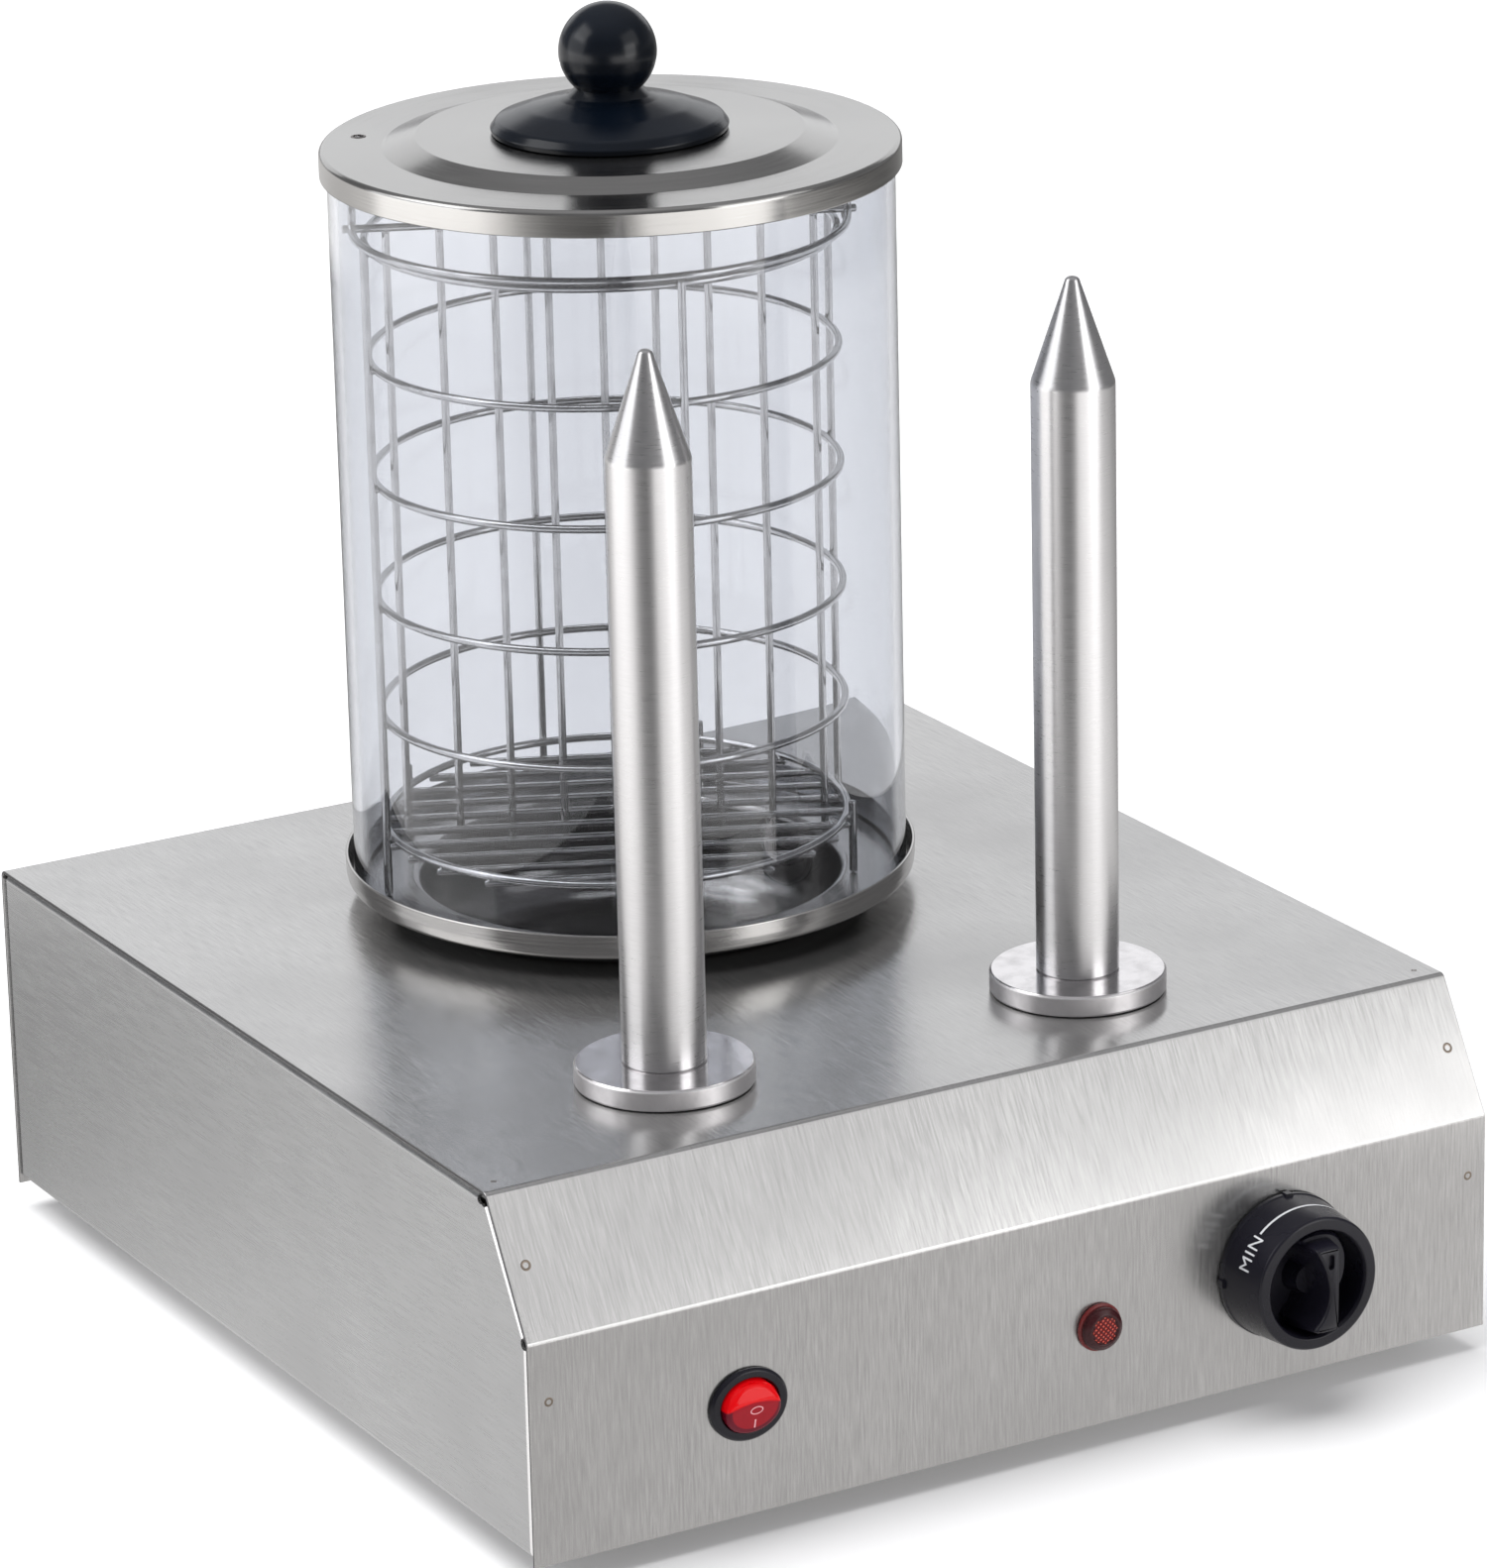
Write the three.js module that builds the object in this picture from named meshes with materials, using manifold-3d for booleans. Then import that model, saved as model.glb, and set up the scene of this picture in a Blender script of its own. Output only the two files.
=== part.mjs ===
// Countertop hot dog steamer with a glass cylinder, a divided wire basket and two heated bun spikes.
// Millimetres, +Z up, +X to the user's right, -Y towards the user. Origin: centre of the base on the counter.

import * as THREE from 'three';
import { mergeVertices } from 'three/addons/utils/BufferGeometryUtils.js';
import Module from 'manifold-3d';

const wasm = await Module();
wasm.setup();

// ---------------------------------------------------------------- driving dimensions

const GAP = 0.3;                 // between pieces that touch
const SHEET = 1.0;               // housing, lid and pan sheet
const BEND = 3;                  // outer radius of a fold in the housing sheet

const WIDTH = 340;               // housing, side to side
const TOP_DEPTH = 342;           // flat top, front to back
const HEIGHT = 111.2;            // housing without its feet
const SLOPE_RUN = 23.2;          // slanted face: how far it comes forward
const SLOPE_DROP = 40.2;         // slanted face: how far it comes down
const SIDE_BOTTOM = 2.2;         // side panels end this far above the front panel's lower edge
const FLANGE = 14;               // side panel flange, inwards
const FOOT_HEIGHT = 8;
const FOOT_RADIUS = 13;
const FOOT_X = 125;
const FOOT_Y = [28, 300];

const STEAM_X = -2;              // axis shared by pan, glass, basket and lid
const STEAM_Y = 215;
const PAN_RADIUS = 92.8;
const PAN_RIM_TOP = 126.1;
const PAN_FLANGE = 118.5;        // top face of the flat flange that the glass stands on
const WELL_RADIUS = 68;          // water well, inside
const WELL_FLOOR = 85;           // top face of the well's floor
const WELL_CORNER = 16;

const GLASS_RADIUS = 90;
const GLASS_WALL = 3;
const LID_TOP = 360.3;           // outer, flat part of the lid
const LID_RADIUS = 92.3;
const LID_BAND = 8.6;            // height of the lid's turned-down rim
const PLATEAU_RISE = 3.3;
const PLATEAU_FOOT = 72.3;       // where the raised middle starts
const PLATEAU_EDGE = 61.7;       // where it becomes flat

const WIRE = 1.3;                // basket wire radius
const RING_RADIUS = 75;
const RING_HEIGHTS = [175.8, 214.6, 254.6, 293.6, 331.7];
const FLOOR_RING = 137.6;
const BAR_HEIGHT = 334.9;        // divider's top bar, which is also the handle's pivot
const DIVIDER_TURN = -25;        // degrees, from +X
const DIVIDER_PITCH = 17;
const DIVIDER_FOOT = 126;
const HANDLE_RADIUS = 78.6;
const HOOK_HEIGHT = 11;          // of the hook at each end of the handle, above the bar
const BASKET_X = -3.5;           // the basket stands a little off the glass's centre
const BASKET_Y = 2;
const UPRIGHT_TURN = 80;         // degrees, first of four
const FLOOR_PITCH = 13.5;

const SPIKE_Y = 51.5;
const SPIKES = { left: -81, right: 67 };
const SPIKE_RADIUS = 13;
const SPIKE_TIP = 341;
const CONE_HEIGHT = 33;
const COLLAR_RADIUS = 27.7;
const COLLAR_HEIGHT = 7;

const KNOB = { x: 93.6, z: 38.1, depth: 20.4, back: 23.5, front: 21.5, dish: 17.2, grip: 26 };
const LAMP = { x: 26.4, z: 32.4, radius: 7.8, height: 4.6 };
const SWITCH = { x: -97.9, z: 36.8, radius: 11.5, lip: 2 };
const OVAL = 1.155;              // the switch is this much wider than tall
const ROCKER_RADIUS = 8.2;
const ROCKER_TILT = 14;          // degrees; the lower half is pressed in, which is on
const GLAND = { x: -110, z: 30, reach: 12 };

const FRONT = -SLOPE_RUN;        // outer face of the front panel
const REACH = SLOPE_RUN + KNOB.grip;     // how far the knob stands in front of the top plate
const MIDDLE_Y = (TOP_DEPTH + GLAND.reach - REACH) / 2;

// ---------------------------------------------------------------- materials

const steel = { color: 0xb9bbbd, metalness: 1, roughness: 0.34 };
const polished = { color: 0xcfd0d2, metalness: 1, roughness: 0.12 };
const aluminium = { color: 0xd2d3d4, metalness: 1, roughness: 0.28 };
const darkSteel = { color: 0x8e8f90, metalness: 1, roughness: 0.42 };
const brass = { color: 0xb59a54, metalness: 1, roughness: 0.35 };
const blackPlastic = { color: 0x101418, metalness: 0, roughness: 0.35 };
const glossBlack = { color: 0x0b1016, metalness: 0, roughness: 0.12 };
const rubber = { color: 0x17181a, metalness: 0, roughness: 0.8 };
const redPlastic = { color: 0xc0141a, metalness: 0, roughness: 0.15 };
const whitePlastic = { color: 0xdedcd4, metalness: 0, roughness: 0.5 };
const clearGlass = { color: 0xe8f2f2, metalness: 0, roughness: 0.03, transparent: true, opacity: 0.3 };

// ---------------------------------------------------------------- shape helpers

const radians = THREE.MathUtils.degToRad;
const point = (x, y, z) => new THREE.Vector3(x, y, z);
const flat = (a, b) => new THREE.Vector2(a, b);

function polar(radius, degrees, z) {
  return point(radius * Math.cos(radians(degrees)), radius * Math.sin(radians(degrees)), z);
}

function arc(cx, cy, radius, from, to, steps) {
  return Array.from({ length: steps + 1 }, (_, i) => {
    const angle = radians(from + (to - from) * i / steps);
    return flat(cx + radius * Math.cos(angle), cy + radius * Math.sin(angle));
  });
}

function turned(profile, segments = 32) {
  const anticlockwise = THREE.ShapeUtils.area(profile) > 0;
  const ordered = anticlockwise ? profile : [...profile].reverse();
  return new THREE.LatheGeometry(ordered, segments).rotateX(Math.PI / 2);
}

function hoop(radius, wire, segments = 28, sides = 6) {
  return turned(arc(radius, 0, wire, 0, 360, sides), segments);
}

function rod(from, to, radius, sides = 12) {
  const run = to.clone().sub(from);
  const geometry = new THREE.CylinderGeometry(radius, radius, run.length(), sides);
  geometry.applyQuaternion(new THREE.Quaternion().setFromUnitVectors(point(0, 1, 0), run.normalize()));
  return geometry.translate(...from.clone().add(to).multiplyScalar(0.5).toArray());
}

function hexNut(acrossCorners, bore, thickness) {
  const outline = new THREE.Shape(arc(0, 0, acrossCorners, 0, 300, 5));
  outline.holes.push(new THREE.Path(arc(0, 0, bore, 0, 345, 23)));
  return new THREE.ExtrudeGeometry(outline, { depth: thickness, bevelEnabled: false });
}

function tube(route, radius, steps, sides = 6) {
  const section = new THREE.Shape(arc(0, 0, radius, 0, 360 - 360 / sides, sides - 1));
  const curve = new THREE.CatmullRomCurve3(route, false, 'centripetal');
  return new THREE.ExtrudeGeometry(section, { steps, extrudePath: curve, bevelEnabled: false });
}

// A Y-Z outline pushed along X.
function acrossX(outline, from, to) {
  const geometry = new THREE.ExtrudeGeometry(outline, { depth: to - from, bevelEnabled: false });
  geometry.applyMatrix4(new THREE.Matrix4().makeBasis(point(0, 1, 0), point(0, 0, 1), point(1, 0, 0)));
  return geometry.translate(from, 0, 0);
}

function toSolid(geometry) {
  const plain = geometry.clone();
  plain.deleteAttribute('normal');
  plain.deleteAttribute('uv');
  const welded = mergeVertices(plain, 1e-4);
  const triangles = [];
  const index = welded.index.array;
  for (let i = 0; i < index.length; i += 3) {
    const [a, b, c] = index.slice(i, i + 3);
    if (a !== b && b !== c && c !== a) triangles.push(a, b, c);
  }
  return new wasm.Manifold(new wasm.Mesh({
    numProp: 3,
    vertProperties: new Float32Array(welded.attributes.position.array),
    triVerts: new Uint32Array(triangles),
  }));
}

function toGeometry(solid) {
  const { vertProperties, triVerts } = solid.getMesh();
  const geometry = new THREE.BufferGeometry();
  geometry.setAttribute('position', new THREE.BufferAttribute(vertProperties, 3));
  geometry.setIndex(new THREE.BufferAttribute(triVerts, 1));
  geometry.computeVertexNormals();
  return geometry;
}

function cut(body, tools) {
  return toGeometry(tools.reduce((rest, tool) => rest.subtract(toSolid(tool)), toSolid(body)));
}

function join(pieces) {
  return toGeometry(pieces.slice(1).reduce((sum, piece) => sum.add(toSolid(piece)), toSolid(pieces[0])));
}

// Points on both faces of a folded sheet. The corners run anticlockwise round the inside of the fold.
function foldedSheet(corners, radius, thickness, closed) {
  const outer = [];
  const inner = [];
  const count = corners.length;
  const last = closed ? count : count - 1;
  corners.forEach((corner, i) => {
    const before = corner.clone().sub(corners[(i + count - 1) % count]).normalize();
    const after = corners[(i + 1) % count].clone().sub(corner).normalize();
    if (!closed && (i === 0 || i === last)) {
      const along = i === 0 ? after : before;
      outer.push(corner.clone());
      inner.push(corner.clone().add(flat(-along.y, along.x).multiplyScalar(thickness)));
      return;
    }
    const turn = Math.acos(before.dot(after));
    const inward = flat(-before.y, before.x);
    const centre = corner.clone()
      .addScaledVector(before, -radius * Math.tan(turn / 2))
      .addScaledVector(inward, radius);
    const steps = 3;
    for (let k = 0; k <= steps; k += 1) {
      const spoke = inward.clone().negate().rotateAround(flat(0, 0), turn * k / steps);
      outer.push(centre.clone().addScaledVector(spoke, radius));
      inner.push(centre.clone().addScaledVector(spoke, radius - thickness));
    }
  });
  return { outer, inner };
}

// The housing's side outline, set in from its outer faces.
function sideCorners(inset, bottom) {
  const slope = flat(-SLOPE_RUN, -SLOPE_DROP).normalize();
  const topTurn = Math.tan(Math.acos(-slope.x) / 2);
  const lowTurn = Math.tan(Math.acos(-slope.y) / 2);
  return [
    flat(TOP_DEPTH - inset, bottom),
    flat(TOP_DEPTH - inset, HEIGHT - inset),
    flat(inset * topTurn, HEIGHT - inset),
    flat(FRONT + inset, HEIGHT - SLOPE_DROP - inset * lowTurn),
    flat(FRONT + inset, bottom),
  ];
}

// ---------------------------------------------------------------- assembly

const steamer = new THREE.Group();
const steamAxis = new THREE.Group();
steamer.position.set(0, -MIDDLE_Y, FOOT_HEIGHT);
steamAxis.position.set(STEAM_X, STEAM_Y, 0);
steamer.add(steamAxis);

function add(parent, name, geometry, finish) {
  const piece = new THREE.Mesh(geometry, new THREE.MeshStandardMaterial(finish));
  piece.name = name;
  parent.add(piece);
  return piece;
}

// ---------------------------------------------------------------- housing

const throughTop = (x, y, radius, sides) =>
  rod(point(x, y, HEIGHT - 10), point(x, y, HEIGHT + 10), radius, sides);
const throughFront = (x, z, radius, sides, stretch = 1) =>
  rod(point(0, FRONT - 10, 0), point(0, FRONT + 10, 0), radius, sides)
    .scale(stretch, 1, 1)
    .translate(x, 0, z);

const BUSH_HOLE = 5.4;
const LAMP_HOLE = 6.2;
const SWITCH_HOLE = 10.2;
const GLAND_HOLE = 8.3;
const STUD_HOLE = 8.5;
const PAN_HOLE = WELL_RADIUS + 2.5;

function addHousing() {
  const { outer, inner } = foldedSheet(sideCorners(0, 0), BEND, SHEET, false);
  const wrap = acrossX(new THREE.Shape([...outer, ...inner.reverse()]), -WIDTH / 2, WIDTH / 2);
  const holes = [
    throughTop(STEAM_X, STEAM_Y, PAN_HOLE, 48),
    throughFront(KNOB.x, KNOB.z, BUSH_HOLE, 20),
    throughFront(LAMP.x, LAMP.z, LAMP_HOLE, 20),
    throughFront(SWITCH.x, SWITCH.z, SWITCH_HOLE, 28, OVAL),
    rod(point(GLAND.x, TOP_DEPTH - 10, GLAND.z), point(GLAND.x, TOP_DEPTH + 10, GLAND.z), GLAND_HOLE, 20),
    ...Object.values(SPIKES).map((x) => throughTop(x, SPIKE_Y, STUD_HOLE, 20)),
  ];
  add(steamer, 'housing_shell', cut(wrap, holes), steel);

  const tray = foldedSheet(sideCorners(SHEET + GAP, SIDE_BOTTOM), BEND, SHEET, true);
  const outside = WIDTH / 2 - GAP;
  for (const [name, side] of [['side_panel_left', -1], ['side_panel_right', 1]]) {
    const span = (from, to) => [from * side, to * side].sort((a, b) => a - b);
    const block = acrossX(new THREE.Shape(tray.outer), ...span(outside - FLANGE, outside));
    const hollow = acrossX(new THREE.Shape(tray.inner), ...span(outside - FLANGE - 1, outside - SHEET));
    add(steamer, name, cut(block, [hollow]), steel);
  }
}

function addBase() {
  const clearance = 2 * SHEET + GAP + BEND / 2;
  const width = WIDTH - 2 * (GAP + SHEET + GAP);
  const depth = TOP_DEPTH + SLOPE_RUN - 2 * clearance;
  const under = SIDE_BOTTOM + SHEET + GAP;
  const centreY = (TOP_DEPTH - SLOPE_RUN) / 2;
  const plate = new THREE.BoxGeometry(width, depth, SHEET).translate(0, centreY, under + SHEET / 2);
  const ventRows = 2;
  const ventsPerRow = 7;
  const vents = [];
  for (let row = 0; row < ventRows; row += 1) {
    for (let i = 0; i < ventsPerRow; i += 1) {
      const x = (i - (ventsPerRow - 1) / 2) * 16;
      vents.push(new THREE.BoxGeometry(5, 42, 4).translate(x, centreY - 60 + 120 * row, under));
    }
  }

  const screwRadius = 2;
  const footTop = under - GAP;
  const headSeat = footTop - 4;
  const foot = turned([
    flat(2.4, footTop), flat(2.4, headSeat), flat(6, headSeat), flat(6, -FOOT_HEIGHT),
    flat(FOOT_RADIUS - 1, -FOOT_HEIGHT), flat(FOOT_RADIUS, 1 - FOOT_HEIGHT), flat(FOOT_RADIUS - 2, footTop),
    flat(2.4, footTop),
  ], 18);
  const headTop = headSeat - GAP;
  const screw = turned([
    flat(0, headTop - 3), flat(3.4, headTop - 3), flat(4.2, headTop - 1.2), flat(4.2, headTop),
    flat(screwRadius, headTop), flat(screwRadius, under + 7), flat(0, under + 7),
  ], 12);
  const screwHoles = [];
  let number = 1;
  for (const x of [-FOOT_X, FOOT_X]) {
    for (const y of FOOT_Y) {
      screwHoles.push(rod(point(x, y, under - 2), point(x, y, under + 4), screwRadius + 0.4, 12));
      add(steamer, `foot_${number}`, foot, rubber).position.set(x, y, 0);
      add(steamer, `foot_screw_${number}`, screw, steel).position.set(x, y, 0);
      number += 1;
    }
  }
  add(steamer, 'base_plate', cut(plate, [...vents, ...screwHoles]), darkSteel);

  const blockZ = under + SHEET + GAP;
  const block = new THREE.BoxGeometry(48, 20, 16).translate(GLAND.x + 40, TOP_DEPTH - 60, blockZ + 8);
  const wireWays = [-15, 0, 15].map((x) => new THREE.BoxGeometry(8, 24, 8)
    .translate(GLAND.x + 40 + x, TOP_DEPTH - 60, blockZ + 14));
  add(steamer, 'terminal_block', cut(block, wireWays), whitePlastic);
}

function addGland() {
  const threadInside = TOP_DEPTH - 11;
  const body = turned([
    flat(4.2, 0), flat(8, 0), flat(8, 11 + GAP), flat(11, 11 + GAP), flat(11, 17),
    flat(9.2, 18), flat(9.2, 21.6), flat(7.4, 23), flat(4.2, 23), flat(4.2, 0),
  ], 20).rotateX(-Math.PI / 2);
  add(steamer, 'cable_gland', body, blackPlastic).position.set(GLAND.x, threadInside, GLAND.z);
  const nut = hexNut(12, 8.3, 4).rotateX(-Math.PI / 2);
  add(steamer, 'gland_nut', nut, blackPlastic).position.set(GLAND.x, TOP_DEPTH - SHEET - GAP - 4, GLAND.z);
}

// ---------------------------------------------------------------- steam pan and its heater

function addPan() {
  const under = PAN_FLANGE - SHEET;
  const wellOut = WELL_RADIUS + SHEET;
  const floorBend = WELL_RADIUS - WELL_CORNER;
  const lip = 3;
  const rimBend = 1.5;
  const rimIn = PAN_RADIUS - SHEET;
  const profile = [
    flat(0, WELL_FLOOR - SHEET),
    ...arc(floorBend, WELL_FLOOR + WELL_CORNER, WELL_CORNER + SHEET, -90, 0, 3),
    ...arc(wellOut + lip - SHEET, under - lip + SHEET, lip - SHEET, 180, 90, 2),
    ...arc(rimIn - rimBend, PAN_FLANGE + rimBend, rimBend + SHEET, -90, 0, 2),
    flat(PAN_RADIUS, PAN_RIM_TOP),
    flat(rimIn, PAN_RIM_TOP),
    ...arc(rimIn - rimBend, PAN_FLANGE + rimBend, rimBend, 0, -90, 2),
    ...arc(WELL_RADIUS + lip, PAN_FLANGE - lip, lip, 90, 180, 2),
    ...arc(floorBend, WELL_FLOOR + WELL_CORNER, WELL_CORNER, 0, -90, 3),
    flat(0, WELL_FLOOR),
  ];
  add(steamAxis, 'steam_pan', turned(profile, 36), steel);

  const gasketTop = under - GAP;
  const gasketLow = HEIGHT + GAP;
  const gasket = [
    flat(WELL_RADIUS + 3.5, gasketLow), flat(WELL_RADIUS + 9, gasketLow),
    flat(WELL_RADIUS + 9, gasketTop), flat(WELL_RADIUS + 3.5, gasketTop), flat(WELL_RADIUS + 3.5, gasketLow),
  ];
  add(steamAxis, 'pan_gasket', turned(gasket), rubber);
}

function addHeater() {
  const plateTop = WELL_FLOOR - SHEET - GAP;
  const plateLow = plateTop - 4;
  const coilRadius = 34;
  const coilWire = 3.3;
  const coilZ = plateLow - 3 * GAP - coilWire;
  const clampTop = coilZ - coilWire - GAP;
  const studRadius = 2.5;
  const studLow = clampTop - 12;
  const disc = rod(point(0, 0, plateLow), point(0, 0, plateTop), 47, 40);
  const stud = rod(point(0, 0, studLow), point(0, 0, plateLow + 1), studRadius, 12);
  add(steamAxis, 'heat_spreader', join([disc, stud]), aluminium);

  const legs = [250, -70];
  const legLow = coilZ - 24;
  const route = [polar(coilRadius, legs[0], legLow), polar(coilRadius, legs[0], coilZ - 8)];
  for (let angle = legs[0] - 10; angle >= legs[1] + 10; angle -= 20) {
    route.push(polar(coilRadius, angle, coilZ));
  }
  route.push(polar(coilRadius, legs[1], coilZ - 8), polar(coilRadius, legs[1], legLow));
  add(steamAxis, 'heating_element', tube(route, coilWire, 30), darkSteel);

  const clamp = new THREE.BoxGeometry(88, 12, 2).translate(0, 0, clampTop - 1);
  const clampHole = rod(point(0, 0, clampTop - 4), point(0, 0, clampTop + 2), studRadius + GAP, 12);
  add(steamAxis, 'element_clamp', cut(clamp, [clampHole]), steel);
  add(steamAxis, 'clamp_nut', hexNut(5, studRadius + GAP, 4), steel).position.z = clampTop - 2 - GAP - 4;

  const button = rod(point(0, 18, plateLow - GAP - 7), point(0, 18, plateLow - GAP), 8, 20);
  const blades = [-4, 4].map((x) => new THREE.BoxGeometry(3, 0.8, 9).translate(x, 18, plateLow - GAP - 10));
  add(steamAxis, 'thermal_cutout', join([button, ...blades]), whitePlastic);
}

// ---------------------------------------------------------------- bun spikes

function addSpikes() {
  const seat = HEIGHT + GAP;
  const collarTop = HEIGHT + COLLAR_HEIGHT;
  const studRadius = 8;
  const studLow = HEIGHT - 15;
  const bore = 5.2;
  const shoulder = SPIKE_TIP - CONE_HEIGHT;
  const tipRound = 2.6;
  const spike = turned([
    flat(bore, studLow), flat(studRadius, studLow), flat(studRadius, collarTop + GAP),
    flat(SPIKE_RADIUS, collarTop + GAP), flat(SPIKE_RADIUS, shoulder - 4), flat(SPIKE_RADIUS - 0.5, shoulder),
    ...arc(0, SPIKE_TIP - tipRound, tipRound, 20, 90, 3),
    flat(0, shoulder - 16), flat(bore, shoulder - 19), flat(bore, studLow),
  ], 24);
  const chamfer = 0.8;
  const collar = turned([
    flat(studRadius + GAP, seat), flat(COLLAR_RADIUS, seat), flat(COLLAR_RADIUS, collarTop - chamfer),
    flat(COLLAR_RADIUS - chamfer, collarTop), flat(studRadius + GAP, collarTop), flat(studRadius + GAP, seat),
  ]);
  const heater = rod(point(0, 0, studLow - 8), point(0, 0, shoulder - 24), bore - 0.4, 16);
  const nut = hexNut(14, studRadius + GAP, 6);
  for (const [side, x] of Object.entries(SPIKES)) {
    add(steamer, `spike_${side}`, spike, aluminium).position.set(x, SPIKE_Y, 0);
    add(steamer, `spike_collar_${side}`, collar, polished).position.set(x, SPIKE_Y, 0);
    add(steamer, `spike_heater_${side}`, heater, darkSteel).position.set(x, SPIKE_Y, 0);
    add(steamer, `spike_nut_${side}`, nut, steel).position.set(x, SPIKE_Y, HEIGHT - SHEET - GAP - 6);
  }
}

// ---------------------------------------------------------------- controls on the front panel
// Each is turned about +Z with its front upwards, then laid down so that its front faces -Y.

const faceForward = (geometry) => geometry.rotateX(Math.PI / 2);

function addThermostat() {
  const bushRadius = 5;
  const bushReach = 4;
  const box = new THREE.BoxGeometry(36, 30, 24).translate(0, 0, -SHEET - GAP - 12);
  const bush = rod(point(0, 0, -SHEET - 2), point(0, 0, bushReach), bushRadius, 20);
  const body = faceForward(join([box, bush]));
  add(steamer, 'thermostat_body', body, whitePlastic).position.set(KNOB.x, FRONT, KNOB.z);
  const nut = faceForward(hexNut(7.5, bushRadius + GAP, 2.6).translate(0, 0, GAP));
  add(steamer, 'thermostat_nut', nut, steel).position.set(KNOB.x, FRONT, KNOB.z);

  const spindleRadius = 3;
  const spindleTip = 13;
  const spindle = faceForward(rod(point(0, 0, bushReach + GAP), point(0, 0, spindleTip), spindleRadius, 16));
  add(steamer, 'thermostat_spindle', spindle, brass).position.set(KNOB.x, FRONT, KNOB.z);

  const back = GAP + 0.2;
  const front = KNOB.depth;
  const cavity = 9;
  const dishFloor = front - 9;
  const shell = turned([
    flat(0, spindleTip + GAP), flat(spindleRadius + GAP, spindleTip + GAP), flat(spindleRadius + GAP, 6),
    flat(cavity, 6), flat(cavity, back), flat(KNOB.back, back), flat(KNOB.front, front - 1),
    flat(KNOB.front - 1, front), flat(KNOB.dish, front), flat(KNOB.dish - 1.5, dishFloor + 4),
    flat(6.5, dishFloor + 4), flat(0, dishFloor + 4),
  ]);
  const outline = new THREE.Shape([
    flat(-3.7, 12.2), flat(-1.6, 8), flat(0, 3.9), flat(0.9, -2.5), flat(-1.2, -9), flat(-4.5, -13.6),
    flat(3.9, -13.9), flat(4.2, 12.6), flat(2.6, 13.6), flat(-2.2, 13.6),
  ]);
  const gripFoot = front - 6;
  const grip = new THREE.ExtrudeGeometry(outline, { depth: KNOB.grip - gripFoot, bevelEnabled: false })
    .translate(0, 0, gripFoot);
  add(steamer, 'thermostat_knob', faceForward(join([shell, grip])), blackPlastic)
    .position.set(KNOB.x, FRONT, KNOB.z);

  const bulbY = STEAM_Y - WELL_RADIUS - 8;
  const bulb = rod(point(STEAM_X - 30, bulbY, 96), point(STEAM_X + 30, bulbY, 96), 3, 12);
  const boxBack = FRONT + SHEET + GAP + 24;
  const route = [
    point(KNOB.x, boxBack + GAP, KNOB.z), point(KNOB.x, boxBack + 20, KNOB.z + 2),
    point(KNOB.x - 12, 60, 60), point(KNOB.x - 20, 105, 84), point(STEAM_X + 52, bulbY - 6, 95),
    point(STEAM_X + 29, bulbY, 96),
  ];
  add(steamer, 'thermostat_bulb', join([bulb, tube(route, 1.1, 26)]), brass);
}

function addLamp() {
  const flangeHeight = 1.2;
  const lensRadius = 6.1;
  const lens = turned([
    flat(0, GAP), flat(LAMP.radius, GAP), flat(LAMP.radius, flangeHeight - 0.3),
    flat(LAMP.radius - 0.4, flangeHeight),
    flat(lensRadius, flangeHeight + 0.2), ...arc(lensRadius - 1.6, LAMP.height - 1.2, 1.2, 0, 90, 2),
    flat(0, LAMP.height),
  ], 24);
  add(steamer, 'lamp_lens', faceForward(lens), redPlastic).position.set(LAMP.x, FRONT, LAMP.z);
  const barrel = rod(point(0, 0, -26), point(0, 0, 0), LAMP_HOLE - GAP, 24);
  const blades = [-2.6, 2.6].map((x) => new THREE.BoxGeometry(0.8, 4, 9).translate(x, 0, -29));
  add(steamer, 'lamp_body', faceForward(join([barrel, ...blades])), whitePlastic)
    .position.set(LAMP.x, FRONT, LAMP.z);
}

function addSwitch() {
  const boreRadius = ROCKER_RADIUS + 0.35;
  const boreFloor = -10;
  const barrelEnd = -22;
  const barrelRadius = SWITCH_HOLE - GAP;
  const housing = turned([
    flat(0, barrelEnd), flat(barrelRadius, barrelEnd), flat(barrelRadius, GAP), flat(SWITCH.radius, GAP),
    flat(SWITCH.radius, SWITCH.lip - 0.8), flat(SWITCH.radius - 1, SWITCH.lip), flat(boreRadius, SWITCH.lip),
    flat(boreRadius, boreFloor), flat(0, boreFloor),
  ], 24);
  const blades = [-5, 0, 5].map((z) => new THREE.BoxGeometry(4.8, 0.8, 10).translate(0, z, barrelEnd - 4));
  add(steamer, 'switch_housing', faceForward(join([housing, ...blades])).scale(OVAL, 1, 1), blackPlastic)
    .position.set(SWITCH.x, FRONT, SWITCH.z);

  // Two sloping faces meet in a ridge above the middle; the long lower one carries the marks.
  const ridge = { up: 4, out: 3.6 };
  const blank = turned([
    ...arc(0, 0, ROCKER_RADIUS, -90, 0, 6), flat(ROCKER_RADIUS, ridge.out + 0.6), flat(0, ridge.out + 0.6),
  ], 24);
  const slopes = [11, -36].map((degrees) => new THREE.BoxGeometry(30, 30, 10).translate(0, 0, 5)
    .rotateX(radians(degrees)).translate(0, ridge.up, ridge.out));
  const rocker = faceForward(cut(blank, slopes)).scale(OVAL, 1, 1);
  const piece = add(steamer, 'switch_rocker', rocker, redPlastic);
  piece.position.set(SWITCH.x, FRONT - SHEET, SWITCH.z);
  piece.rotation.x = radians(ROCKER_TILT);
}

// ---------------------------------------------------------------- glass and lid

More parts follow.
